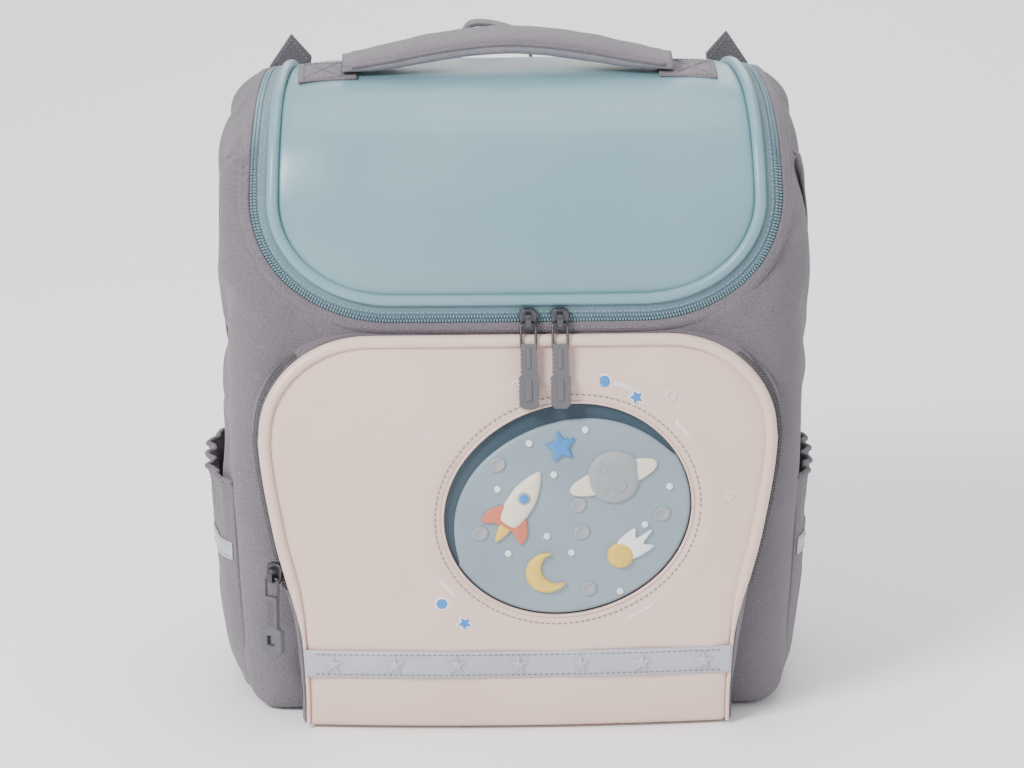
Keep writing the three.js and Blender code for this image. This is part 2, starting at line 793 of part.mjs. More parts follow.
// Raised rubber shapes on the picture window, placed from its middle.
function buildMotifs(middle, base) {
  const spot = (x, z) => new THREE.Vector2(middle.x + x * motifUnit, middle.y + z * motifUnit);
  const slab = [{ share: 1, rise: reliefHeight * 0.6 }, { share: 0, rise: reliefHeight * 0.8 }];
  const dome = [
    { share: 1, rise: reliefHeight * 0.3 },
    { share: 0.75, rise: reliefHeight * 0.85 },
    { share: 0, rise: reliefHeight * 1.1 },
  ];

  const planet = spot(26, 20);
  const globe = relief(ovalRim(planet.x, planet.y, 15, 15, 20), planet, base, dome);
  const ringTilt = 18;
  const ringRim = ovalRim(planet.x, planet.y, 26, 7.5, 24, ringTilt);
  const ring = relief(ringRim, planet, base, slab);
  piece('motif_planet', join([globe, ring]), greyRubber, 0.5);

  const rocket = spot(-27, 6);
  const lean = -32;
  const turned = (points) => points.map(([x, z]) => (
    spot(x, z).sub(middle).rotateAround(new THREE.Vector2(), lean * degrees).add(rocket)
  ));
  const hull = turned([
    [-5, -15], [5, -15], [7.5, -5], [7, 6], [4, 15], [0, 21], [-4, 15], [-7, 6], [-7.5, -5],
  ]);
  const fins = turned([[0, -8], [7, -6], [13.5, -14], [13, -21], [5, -17], [0, -19],
    [-5, -17], [-13, -21], [-13.5, -14], [-7, -6]]);
  const finMiddle = turned([[0, -13]])[0];
  const rocketBody = relief(hull, rocket, base, dome);
  piece('motif_rocket', join([rocketBody, relief(fins, finMiddle, base, slab)]), creamRubber, 0.5);

  const moon = spot(-12, -36);
  const shade = spot(-12 + 6.5, -36 + 3);
  const disc = relief(ovalRim(moon.x, moon.y, 12, 12, 18), moon, base, dome);
  const bite = frontSlab(ovalRim(shade.x, shade.y, 9.5, 9.5, 18), -2 * bodyDepth, 0);
  piece('motif_crescent', cut(disc, [bite]), yellowRubber, 0.5);

  const star = spot(-4, 38);
  const starOutline = starRim(star.x, star.y, 9 * motifUnit, 0.5, 12);
  piece('motif_star', relief(starOutline, star, base, slab), blueRubber, 0.5);

  const comet = spot(30, -26);
  const head = relief(ovalRim(comet.x, comet.y, 7.5, 7.5, 14), comet, base, dome);
  const tailRim = [[-2, 7], [8, 16], [9, 10], [18, 15], [13, 7], [19, 5], [7, -2]];
  const tailPoints = tailRim.map(([x, z]) => spot(30 + x, -26 + z));
  const tailMiddle = spot(36, -21);
  piece('motif_comet', join([head, relief(tailPoints, tailMiddle, base, slab)]), creamRubber, 0.5);

  const craterPlaces = [[6, 4], [-50, -12], [8, -12], [54, -2], [-44, 32], [12, -46]];
  craterPlaces.forEach(([x, z], i) => {
    const place = spot(x, z);
    const rim = ovalRim(place.x, place.y, 4.6, 3.8, 8, 30);
    const dish = [{ share: 1, rise: 0.5 }, { share: 0.7, rise: 1 }, { share: 0, rise: 0.4 }];
    piece(`motif_crater_${i + 1}`, relief(rim, place, base, dish), greyRubber, 0.7);
  });
}

function buildStrip() {
  const columns = 9;
  const grid = (depth) => [stripFloor, stripFloor + stripHeight].map((z) => {
    const half = pocketHalfWidth * pocketRow(z, 'width') - 2 * pipingRadius - 2 * fitGap;
    const row = [];
    for (let i = 0; i < columns; i += 1) {
      row.push(pocketPoint(half * (2 * i / (columns - 1) - 1), z, depth));
    }
    return row;
  });
  const band = sheetBetween(grid(-fitGap - stripThickness), grid(-fitGap));
  const stars = [];
  for (let i = 0; i < stripStarCount; i += 1) {
    const x = (i - (stripStarCount - 1) / 2) * stripStarPitch;
    const middle = new THREE.Vector2(x, stripFloor + stripHeight / 2);
    const rim = starRim(x, middle.y, stripStarRadius, 0.45);
    const steps = [
      { share: 1, rise: stripThickness * 0.7 },
      { share: 0, rise: stripThickness * 0.7 + stripStarRelief },
    ];
    stars.push(relief(rim, middle, -fitGap - stripThickness * 0.5, steps));
  }
  piece('reflective_strip', join([band, ...stars]), silverTape, 0.35);
}

// A zip slider: a rounded plate with a bridge on its face. Its face looks along local +Z, the zip
// runs across it, and the middle of its back is the local origin.
function sliderGeometry() {
  const half = sliderWidth / 2;
  const long = sliderLength / 2;
  const plate = new THREE.Shape();
  plate.moveTo(-half, long - sliderShoulder);
  plate.lineTo(-half + sliderShoulder, long);
  plate.lineTo(half - sliderShoulder, long);
  plate.lineTo(half, long - sliderShoulder);
  plate.lineTo(half - sliderNose, -long + sliderNose);
  plate.lineTo(half - 2 * sliderNose, -long);
  plate.lineTo(-half + 2 * sliderNose, -long);
  plate.lineTo(-half + sliderNose, -long + sliderNose);
  const base = new THREE.ExtrudeGeometry(plate, { depth: sliderThickness, bevelEnabled: false });
  const reach = bridgeLength / 2;
  const arch = new THREE.Shape();
  arch.moveTo(-reach, -fitGap);
  arch.lineTo(-reach, bridgeHeight - bridgeWall);
  arch.lineTo(-reach + bridgeWall, bridgeHeight);
  arch.lineTo(reach - bridgeWall, bridgeHeight);
  arch.lineTo(reach, bridgeHeight - bridgeWall);
  arch.lineTo(reach, -fitGap);
  const inside = reach - bridgeWall;
  const hole = new THREE.Path();
  hole.moveTo(-inside, fitGap);
  hole.lineTo(inside, fitGap);
  hole.lineTo(inside, bridgeHeight - bridgeWall);
  hole.lineTo(-inside, bridgeHeight - bridgeWall);
  arch.holes.push(hole);
  const bridge = new THREE.ExtrudeGeometry(arch, { depth: bridgeWidth, bevelEnabled: false });
  const alongZip = new THREE.Vector3(0, 1, 0);
  const outward = new THREE.Vector3(0, 0, 1);
  const across = new THREE.Vector3(1, 0, 0);
  bridge.translate(0, 0, -bridgeWidth / 2);
  bridge.applyMatrix4(new THREE.Matrix4().makeBasis(alongZip, outward, across));
  bridge.translate(0, 0, sliderThickness);
  return join([base, bridge]);
}

// Half the outline of a pull, from the top of its neck to its chamfered foot: ribs on both parts.
function pullOutline() {
  const side = [];
  const blockLength = pullBlockLength - pullNotch - pullFootLength;
  const parts = [
    { width: pullNeckWidth, from: 0, length: pullNeckLength },
    { width: pullBlockWidth, from: pullNeckLength + pullNotch, length: blockLength },
  ];
  for (const { width, from, length } of parts) {
    const pitch = length / pullRibCount;
    for (let i = 0; i < pullRibCount; i += 1) {
      const start = from + i * pitch;
      side.push([width / 2 - pullRibDepth, start]);
      side.push([width / 2, start + pitch * 0.5]);
    }
    side.push([width / 2 - pullRibDepth, from + length]);
  }
  side.push([pullBlockWidth / 2 - pullChamfer, pullNeckLength + pullBlockLength]);
  return side;
}

// A pull on its wire loop. The cross bar of the loop is the local origin, the pull hangs along
// local -Y and its face looks along local +Z.
function pullGeometry(ribbed) {
  const loopFoot = -wireLoopLength;
  const half = wireLoopWidth / 2;
  const inner = half - wireBend;
  const loopPlan = [
    [-inner, 0], [inner, 0], [half, -wireBend], [half, loopFoot + wireBend],
    [inner, loopFoot], [-inner, loopFoot], [-half, loopFoot + wireBend], [-half, -wireBend],
  ];
  const rings = loopPlan.map(([x, y], i) => {
    const before = loopPlan.at(i - 1);
    const after = loopPlan[(i + 1) % loopPlan.length];
    const along = new THREE.Vector2(after[0] - before[0], after[1] - before[1]).normalize();
    const ring = [];
    for (let j = 0; j < 6; j += 1) {
      const turn = Math.PI * j / 3;
      const out = wireRadius * Math.cos(turn);
      ring.push(new THREE.Vector3(x + along.y * out, y - along.x * out, wireRadius * Math.sin(turn)));
    }
    return ring;
  });
  const wire = loftRings(rings, true);
  const top = loopFoot + wireRadius + wireInRubber;
  const side = ribbed ? pullOutline() : plainPullOutline();
  const outline = [
    ...side.map(([x, y]) => new THREE.Vector2(x, top - y)),
    ...side.toReversed().map(([x, y]) => new THREE.Vector2(-x, top - y)),
  ];
  const shape = new THREE.Shape(outline);
  const rubber = new THREE.ExtrudeGeometry(shape, { depth: pullThickness, bevelEnabled: false });
  rubber.translate(0, 0, -pullThickness / 2);
  const barThickness = pullThickness + 2 * pullBarRise;
  const bar = new THREE.BoxGeometry(pullBarWidth, pullNeckLength * 0.7, barThickness);
  bar.translate(0, top - pullNeckLength / 2, 0);
  const lower = new THREE.BoxGeometry(pullBarWidth * 1.4, pullBlockLength * 0.6, barThickness);
  lower.translate(0, top - pullNeckLength - pullBlockLength / 2, 0);
  return join([rubber, wire, bar, lower]);
}

function plainPullOutline() {
  const neck = pocketPullNeck / 2;
  const block = pocketPullBlock / 2;
  return [
    [neck, 0],
    [neck, pullNeckLength],
    [block, pullNeckLength + pullChamfer],
    [block, pullNeckLength + pullBlockLength - 2 * pullChamfer],
    [block - 2 * pullChamfer, pullNeckLength + pullBlockLength],
  ];
}

function placed(geometry, x, y, z, lean, turn) {
  return geometry.rotateX(quarter + lean).rotateZ(turn).translate(x, y, z);
}

// Where the cross bar of a pull's loop runs, under the bridge of its slider.
const hingeRise = (bridgeHeight - bridgeWall) / 2;
const hingeDrop = bridgeLength / 2 - bridgeWall - wireRadius - fitGap;

function buildLidPulls() {
  const zipMiddle = gussetEdge + fitGap + zipWidth / 2;
  [-1, 1].forEach((side, i) => {
    const name = ['left', 'right'][i];
    const x = lidSliderMiddle + side * lidSliderSpacing / 2;
    const seat = onSkin(new THREE.Vector2(x, -zipMiddle), 0);
    const upper = onSkin(new THREE.Vector2(x, -zipMiddle + sliderLength / 2), 0);
    const lower = onSkin(new THREE.Vector2(x, -zipMiddle - sliderLength / 2), 0);
    const y = Math.min(seat.y, upper.y, lower.y) - fitGap;
    piece(`lid_slider_${name}`, placed(sliderGeometry(), x, y, seat.z, 0, 0), sliderMetal, 0.4, 0.8);
    const hingeY = y - sliderThickness - hingeRise;
    const hingeZ = seat.z - hingeDrop;
    const pull = placed(pullGeometry(true), x, hingeY, hingeZ, -pullLean * degrees, 0);
    piece(`lid_pull_${name}`, pull, pullRubber, 0.6);
  });
}

function buildPocketPull() {
  const turn = -pocketPullTurn * degrees;
  const z = pocketSliderHeight;
  const half = pocketHalfWidth * pocketRow(z, 'width');
  const depth = pocketPanelThickness / 2 + pipingRadius + fitGap + pocketZipWidth / 2;
  const edge = pocketPoint(-half, z, depth);
  const outward = new THREE.Vector2(Math.sin(turn), -Math.cos(turn));
  const seatX = edge.x + outward.x * pocketSliderOut - Math.cos(turn) * pocketSliderAside;
  const seatY = edge.y + outward.y * pocketSliderOut - Math.sin(turn) * pocketSliderAside;
  const slider = placed(sliderGeometry(), seatX, seatY, z, 0, turn);
  piece('pocket_slider', slider, sliderMetal, 0.4, 0.8);
  const rise = sliderThickness + hingeRise;
  const hingeX = seatX + outward.x * rise;
  const hingeY = seatY + outward.y * rise;
  const pull = placed(pullGeometry(false), hingeX, hingeY, z - hingeDrop, 0, turn);
  piece('pocket_pull', pull, pullRubber, 0.6);
}

// Handle. Each row is a place from one end to the other, the rise over the lid as a share of
// handleClearance, the width as a share of handleWidth and the thickness of handleThickness.
const handleRows = [
  { rise: 0, width: 0.84, thick: 0.5 },
  { rise: 0.05, width: 0.95, thick: 0.85 },
  { rise: 0.42, width: 1, thick: 1 },
  { rise: 0.82, width: 1, thick: 1 },
  { rise: 1, width: 1, thick: 1 },
  { rise: 0.82, width: 1, thick: 1 },
  { rise: 0.42, width: 1, thick: 1 },
  { rise: 0.05, width: 0.95, thick: 0.85 },
  { rise: 0, width: 0.84, thick: 0.5 },
];

// The cross-section of the handle: across as a share of half its width, up of its thickness.
const handleSection = [
  [-0.8, 0], [-1, 0.2], [-1, 0.55], [-0.78, 0.88], [-0.35, 1],
  [0.35, 1], [0.78, 0.88], [1, 0.55], [1, 0.2], [0.8, 0],
];

function topRow(y) {
  const found = fineProfile.find((row) => row.z > bodyHeight / 2 && row.y >= y);
  return profileAt(found.place);
}

function buildHandle() {
  const steps = 14;
  const rings = [];
  for (let i = 0; i <= steps; i += 1) {
    const share = i / steps;
    const row = readTable(handleRows, share);
    const x = handleMiddleX + handleLength * (share - 0.5);
    const skin = Math.max(...[-0.5, 0, 0.5].map((share) => (
      skinPoint(topRow(handleMiddleY + share * handleWidth), x, 0).z
    )));
    const low = skin + 3 * fitGap + handleBandThickness + row.rise * handleClearance;
    const halfWide = handleWidth / 2 * row.width;
    const thick = handleThickness * row.thick;
    rings.push(handleSection.map(([across, up]) => (
      new THREE.Vector3(x, handleMiddleY + across * halfWide, low + up * thick)
    )));
  }
  piece('handle', loftRings(rings), greyTwill, 0.9);
  for (const [side, name] of [[-1, 'left'], [1, 'right']]) {
    const columns = [0, 0.5, 1].map((share) => (
      handleMiddleX + side * (handleLength / 2 - handleBandOverlap + share * handleBandLength)
    ));
    const lines = [-1, 0, 1].map((share) => topRow(handleMiddleY + share * handleWidth / 2));
    const grid = (depth) => lines.map((row) => columns.map((x) => skinPoint(row, x, depth)));
    const under = -2 * fitGap;
    const band = sheetBetween(grid(under - handleBandThickness), grid(under));
    piece(`handle_band_${name}`, band, greyTwill, 0.9);
  }
}

// Side pockets. Each row is a height as a share of sidePocketHeight, the stand-off as a share of
// its side's bulge, the reach to front and back as a share of sidePocketHalfDepth, and the ruffle.
const sidePocketRows = [
  { z: 0, bulge: 0.35, reach: 0.88, ruffle: 0 },
  { z: 0.1, bulge: 0.8, reach: 0.96, ruffle: 0 },
  { z: 0.28, bulge: 0.95, reach: 1, ruffle: 0 },
  { z: 0.55, bulge: 1, reach: 1, ruffle: 0 },
  { z: 0.78, bulge: 0.95, reach: 1, ruffle: 0.25 },
  { z: 0.88, bulge: 0.86, reach: 0.98, ruffle: 1 },
  { z: 0.94, bulge: 0.9, reach: 0.97, ruffle: 1 },
  { z: 1, bulge: 1.08, reach: 0.97, ruffle: 1.3 },
];

function sidePocketPoint(side, z, share, sunk) {
  const fullBulge = side < 0 ? sidePocketBulgeLeft : sidePocketBulgeRight;
  const height = (z - sidePocketFloor) / sidePocketHeight;
  const bulge = fullBulge * lookUp(sidePocketRows, 'z', height, 'bulge');
  const reach = sidePocketHalfDepth * lookUp(sidePocketRows, 'z', height, 'reach');
  const ruffle = ruffleDepth * lookUp(sidePocketRows, 'z', height, 'ruffle');
  const full = 1 - Math.abs(share) ** 3;
  const wave = ruffle * full * Math.cos(Math.PI * ruffleCount * share);
  const width = bodyWidth / 2 * lookUp(widthRows, 'z', z / bodyHeight, 'width');
  const x = width + fitGap + sidePocketWall + bulge * full + wave - sunk;
  return new THREE.Vector3(side * x, sidePocketShift + reach * share, z);
}

const sidePocketColumns = 15;

function buildSidePockets() {
  for (const [side, name] of [[-1, 'left'], [1, 'right']]) {
    const sheet = (heights, from, to, outer, inner) => {
      const grid = (sunk) => heights.map((z) => {
        const row = [];
        for (let i = 0; i < sidePocketColumns; i += 1) {
          const share = from + (to - from) * i / (sidePocketColumns - 1);
          row.push(sidePocketPoint(side, z, share, sunk));
        }
        return row;
      });
      return sheetBetween(grid(outer), grid(inner));
    };
    const heights = sidePocketRows.map((row) => sidePocketFloor + row.z * sidePocketHeight);
    const pocket = cut(sheet(heights, -1, 1, 0, sidePocketWall), [bodyForm(-fitGap)]);
    piece(`side_pocket_${name}`, pocket, greyTwill, 0.9);
    const tapeHeights = [sideTapeFloor, sideTapeFloor + sideTapeHeight];
    const outer = -fitGap - sideTapeThickness;
    const tape = sheet(tapeHeights, -0.9, 0.9, outer, -fitGap);
    piece(`side_tape_${name}`, tape, silverTape, 0.35);
  }
}

// Shoulder straps. Each row is a place from the top to the foot: x and z as shares of the way,
// the stand-off from the back as a share of strapBow, the width and the thickness.
const strapRows = [
  { across: 0, down: 0, bow: 0, width: 0.8, thick: 0.5 },
  { across: -0.15, down: 0.06, bow: 0.33, width: 0.95, thick: 0.9 },
  { across: -0.25, down: 0.22, bow: 0.75, width: 1, thick: 1 },
  { across: -0.1, down: 0.45, bow: 1, width: 1, thick: 1 },
  { across: 0.3, down: 0.68, bow: 0.85, width: 0.96, thick: 1 },
  { across: 0.72, down: 0.87, bow: 0.45, width: 0.85, thick: 1 },
  { across: 1, down: 1, bow: 0.28, width: 0.6, thick: 0.8 },
];

// The cross-section of a strap: across as a share of half its width, up of its thickness.
const strapSection = [
  [-1, 0.3], [-0.85, 0], [0.85, 0], [1, 0.3], [1, 0.7], [0.85, 1], [-0.85, 1], [-1, 0.7],
];

const backFace = bodyDepth / 2;

function flatBand(points, width, thickness) {
  const rings = points.map((point, i) => {
    const before = points[Math.max(i - 1, 0)];
    const after = points[Math.min(i + 1, points.length - 1)];
    const along = new THREE.Vector3().subVectors(after, before).normalize();
    const across = new THREE.Vector3().crossVectors(along, new THREE.Vector3(0, 1, 0)).normalize();
    const up = new THREE.Vector3().crossVectors(across, along);
    return [[-1, -1], [1, -1], [1, 1], [-1, 1]].map(([side, face]) => (
      point.clone().addScaledVector(across, side * width / 2).addScaledVector(up, face * thickness / 2)
    ));
  });
  return loftRings(rings);
}

function buildStraps() {
  const steps = 16;
  for (const [side, name] of [[-1, 'left'], [1, 'right']]) {
    const rings = [];
    for (let i = 0; i <= steps; i += 1) {
      const row = readTable(strapRows, i / steps);
      const x = strapTopX + (strapFootX - strapTopX) * row.across;
      const z = strapTopHeight + (strapFootHeight - strapTopHeight) * row.down;
      const thick = strapThickness * row.thick;
      const y = backFace + fitGap + row.bow * (strapBow + backPadThickness);
      const half = strapWidth / 2 * row.width;
      rings.push(strapSection.map(([across, up]) => (
        new THREE.Vector3(side * (x + across * half), y + up * thick, z)
      )));
    }
    piece(`shoulder_strap_${name}`, loftRings(rings), greyTwill, 0.9);
    const outerFace = (place) => {
      const row = readTable(strapRows, place);
      const x = strapTopX + (strapFootX - strapTopX) * row.across;
      const y = backFace + fitGap + row.bow * (strapBow + backPadThickness) + strapThickness * row.thick;
      const z = strapTopHeight + (strapFootHeight - strapTopHeight) * row.down;
      return new THREE.Vector3(side * x, y + webbingThickness, z);
    };
    const start = outerFace(0.94).add(new THREE.Vector3(0, 2 * fitGap, 0));
    const leave = outerFace(1).add(new THREE.Vector3(0, 3 * fitGap, -1));
    const end = new THREE.Vector3(
      side * webbingFootX,
      backFace + fitGap + webbingThickness,
      webbingFootHeight,
    );
    const middle = leave.clone().lerp(end, 0.5);
    const late = leave.clone().lerp(end, 0.85).setY(backFace + backPadThickness * 0.7);
    const band = flatBand([start, leave, middle, late, end], webbingWidth, webbingThickness);
    piece(`strap_webbing_${name}`, band, darkTwill, 0.9);
  }
}

// The back pad: a cushion with two upright channels pressed into it.
function buildBackPad() {
  const columns = [-1, -0.93, -0.75, -0.45, -0.33, -0.21, 0, 0.21, 0.33, 0.45, 0.75, 0.93, 1];
  const fullness = [0.15, 0.7, 1, 1, 0.45, 1, 1, 1, 0.45, 1, 1, 0.7, 0.15];
  const padRows = [
    { z: 0, width: 0.9, full: 0.2 },
    { z: 0.05, width: 0.97, full: 0.8 },
    { z: 0.2, width: 1, full: 1 },
    { z: 0.5, width: 1, full: 1 },
    { z: 0.8, width: 0.97, full: 1 },
    { z: 0.95, width: 0.92, full: 0.8 },
    { z: 1, width: 0.84, full: 0.2 },
  ];
  const grid = (raised) => padRows.map((row) => columns.map((share, i) => {
    const rise = raised ? backPadThickness * fullness[i] * row.full : 0;
    const x = backPadHalfWidth * row.width * share;
    return new THREE.Vector3(x, backFace + fitGap + rise, backPadFloor + backPadHeight * row.z);
  }));
  piece('back_pad', sheetBetween(grid(true), grid(false)), meshGrey, 0.95);
}

function buildWebbingTabs() {
  const y = backFace + fitGap + webbingThickness / 2;
  const top = bodyHeight - lidBackDrop;
  const foot = strapTopHeight + 2 * fitGap;
  const peak = bodyHeight + hangLoopHeight * 0.6;
  const half = hangLoopSpan / 2;
  const bend = hangLoopSpan * 0.16;
  const loop = [
    [-half, foot], [-half, top], [-half + bend * 0.4, peak - bend], [-half + bend * 1.6, peak],
    [half - bend * 1.6, peak - bend * 0.6], [half - bend * 0.4, peak - 2 * bend], [half, top],
    [half, foot],
  ];
  const rings = loop.map(([x, z], i) => {
    const before = loop[Math.max(i - 1, 0)];
    const after = loop[Math.min(i + 1, loop.length - 1)];
    const along = new THREE.Vector2(after[0] - before[0], after[1] - before[1]).normalize();
    const reach = webbingThickness / 2;
    return [[-1, 0], [1, 0], [1, 1], [-1, 1]].map(([out, deep]) => new THREE.Vector3(
      hangLoopX + x + along.y * out * reach,
      backFace + fitGap + deep * webbingWidth / 2,
      z - along.x * out * reach,
    ));
  });
  piece('hang_loop', loftRings(rings), darkTwill, 0.9);
  for (const [side, name] of [[-1, 'left'], [1, 'right']]) {
    const tabFoot = bodyHeight - cornerTabLength;
    const rim = [
      [cornerTabX - webbingWidth * 0.35, tabFoot], [cornerTabX + webbingWidth * 0.35, tabFoot],
      [cornerTabX + webbingWidth * 0.55, bodyHeight - webbingWidth * 0.7],
      [cornerTabX, bodyHeight + cornerTabRise],
      [cornerTabX - webbingWidth * 0.5, bodyHeight - webbingWidth * 0.45],
    ].map(([x, z]) => new THREE.Vector2(side * x, z));
    const ordered = side > 0 ? rim : rim.toReversed();
    const tab = frontSlab(ordered, y - webbingThickness / 2, y + webbingThickness);
    piece(`corner_tab_${name}`, tab, darkTwill, 0.9);
  }
}

buildBody();
buildLid();
buildPocket();
buildWindow();
buildStrip();
buildLidPulls();
buildPocketPull();
buildHandle();
buildSidePockets();
buildBackPad();
buildStraps();
buildWebbingTabs();

export default bag;
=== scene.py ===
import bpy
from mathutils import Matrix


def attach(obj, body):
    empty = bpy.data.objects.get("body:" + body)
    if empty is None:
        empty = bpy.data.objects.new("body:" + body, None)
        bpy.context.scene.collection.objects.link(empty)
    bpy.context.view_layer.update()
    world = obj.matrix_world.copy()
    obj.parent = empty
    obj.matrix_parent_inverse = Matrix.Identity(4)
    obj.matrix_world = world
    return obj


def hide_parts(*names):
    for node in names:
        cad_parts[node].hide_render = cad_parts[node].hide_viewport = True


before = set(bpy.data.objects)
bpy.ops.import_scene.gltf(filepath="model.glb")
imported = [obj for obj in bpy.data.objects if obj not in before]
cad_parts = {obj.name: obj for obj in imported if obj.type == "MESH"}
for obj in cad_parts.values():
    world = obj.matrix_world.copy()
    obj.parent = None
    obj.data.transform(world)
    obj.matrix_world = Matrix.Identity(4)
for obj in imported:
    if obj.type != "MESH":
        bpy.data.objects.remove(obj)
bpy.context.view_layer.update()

import math

import bpy
import numpy as np
from mathutils import Matrix, Vector, noise

# The camera stands almost in front of the bag and looks a little down on it from far away.
camera_data = bpy.data.cameras.new("camera")
camera = bpy.data.objects.new("camera", camera_data)
bpy.context.scene.collection.objects.link(camera)
bpy.context.scene.camera = camera
camera_data.lens = 171.7
camera_data.shift_x = -0.001
camera_data.shift_y = -0.0219
camera_turn, camera_rise = math.radians(-1.8), math.radians(18.4)
camera_distance, camera_aim = 2.857, Vector((0, 0, 0.19))
camera_back = Vector((math.sin(camera_turn) * math.cos(camera_rise),
                      -math.cos(camera_turn) * math.cos(camera_rise), math.sin(camera_rise)))
camera.location = camera_aim + camera_back * camera_distance
camera.rotation_euler = camera_back.to_track_quat("Z", "Y").to_euler()

# A plain pale floor and soft studio light from large panels above, left and right.
world = bpy.data.worlds.new("studio")
bpy.context.scene.world = world
world.use_nodes = True
world.node_tree.nodes["Background"].inputs["Color"].default_value = (0.98, 0.985, 1.0, 1)
world.node_tree.nodes["Background"].inputs["Strength"].default_value = 0.82
panels = [("key", (-1.5, -1.5, 1.9), 0.8, 88), ("side", (1.9, -1.2, 0.9), 1.2, 8),
          ("top", (0.1, 0.3, 2.2), 1.5, 22), ("behind", (0.3, 2.2, 1.3), 1.4, 16)]
for light_name, place, size, power in panels:
    light_data = bpy.data.lights.new(light_name, "AREA")
    light_data.size = size
    light_data.energy = power
    light = bpy.data.objects.new(light_name, light_data)
    light.location = place
    light.rotation_euler = (Vector(place) - Vector((0, 0, 0.18))).to_track_quat("Z", "Y").to_euler()
    bpy.context.scene.collection.objects.link(light)
bpy.ops.mesh.primitive_plane_add(size=30, location=(0, 0, -0.0005))
floor = bpy.context.object
floor.name = "floor"
floor_paint = bpy.data.materials.new("floor_paint")
floor_paint.use_nodes = True
floor_paint.node_tree.nodes["Principled BSDF"].inputs["Base Color"].default_value = (0.99, 0.99, 0.99, 1)
floor_paint.node_tree.nodes["Principled BSDF"].inputs["Roughness"].default_value = 0.7
floor.data.materials.append(floor_paint)

# The body: a box of grey 600D twill sewn from front, sides, base and back, with rounded edges.
# The cloth is held at its seams and under the lid, and swells and crumples a little between them.
# A row is a point of the side view: y share, z share, rounding share and crown share.
side_view = [(-.84, 0, .5, 0), (-.95, .012, .7, .1), (-1, .06, .9, .2), (-1, .25, 1, .35), (-1, .5, 1, .35),
             (-.99, .66, 1, .5), (-.95, .76, 1.05, .8), (-.85, .855, 1.1, 1), (-.63, .925, 1.2, 1),
             (-.28, .968, 1.3, 1), (.15, .98, 1.3, .95), (.55, .975, 1.2, .8), (.86, .955, 1.1, .35),
             (.99, .9, .9, 0), (1, .8, .7, 0), (1, .45, .6, 0), (1, .1, .6, 0), (.96, .02, .55, 0),
             (.86, 0, .5, 0)]
width_table = [(0, .935), (.08, .96), (.2, .98), (.4, 1), (.7, 1), (1, .985)]
body_width, body_depth, body_height = 330, 150, 366
edge_round, face_crown = 28, 7
inward_aim = 42
steps_per_row = 50


def bend(rows, at):
    """A smooth value between the rows of a table, at a place counted in rows."""
    rows = np.asarray(rows, float)
    index = int(min(max(at, 0), len(rows) - 1.0001))
    t = at - index
    before, start, end, after = (rows[min(max(index + k, 0), len(rows) - 1)] for k in (-1, 0, 1, 2))
    leave, arrive = (end - before) / 2, (after - start) / 2
    cubic, square = 2 * start - 2 * end + leave + arrive, 3 * end - 3 * start - 2 * leave - arrive
    return cubic * t ** 3 + square * t ** 2 + leave * t + start


def read(table, key):
    """The row of a table whose first column is key, smoothly between its rows."""
    keys = [row[0] for row in table]
    key = min(max(key, keys[0]), keys[-1])
    index = max(i for i in range(len(keys) - 1) if keys[i] <= key + 1e-9)
    return bend(table, index + (key - keys[index]) / (keys[index + 1] - keys[index]))


profile = []
for i in range((len(side_view) - 1) * steps_per_row + 1):
    y, z, turned, crown = bend(side_view, i / steps_per_row)
    y, z = min(max(y, -1), 1) * body_depth / 2, max(z, 0) * body_height
    inward = np.array([min(max(y, inward_aim - body_depth / 2), body_depth / 2 - inward_aim) - y,
                       min(max(z, inward_aim), body_height - inward_aim) - z])
    inward /= np.hypot(*inward)
    if profile:
        far = profile[-1][6] + math.hypot(y - profile[-1][0], z - profile[-1][1])
    else:
        far = 0
    profile.append((y, z, inward[0], inward[1], turned * edge_round, crown * face_crown, far))
profile = np.array(profile)
lid_low_edge, lid_back_drop = 252, 22
lid_start = profile[np.argmax(profile[:, 1] >= lid_low_edge), 6]
lid_end = profile[np.argmax((profile[:, 0] > 0) & (profile[:, 1] <= body_height - lid_back_drop)), 6]


def skin(x, far, sunk=0.0):
    """The point of the body's skin at x and a length along the side view, in metres."""
    y, z, in_y, in_z, turned, crown = (np.interp(far, profile[:, 6], profile[:, k]) for k in range(6))
    past = max(0.0, abs(x) - (body_width / 2 - turned))
    turn = math.asin(min(1.0, past / turned))
    inset = turned * (1 - math.cos(turn)) + sunk * math.cos(turn) - crown * (1 - (2 * x / body_width) ** 2)
    across = math.copysign(abs(x) - sunk * math.sin(turn), x)
    z_here = z + in_z * inset
    return np.array([across * read(width_table, z_here / body_height)[1], y + in_y * inset, z_here]) / 1000


def grid_faces(rows, columns, start=0, closed=False):
    """The quads of a grid of points, closed round its columns if wanted."""
    last = columns if closed else columns - 1
    return [(start + i * columns + j, start + i * columns + (j + 1) % columns,
             start + (i + 1) * columns + (j + 1) % columns, start + (i + 1) * columns + j)
            for i in range(rows - 1) for j in range(last)]


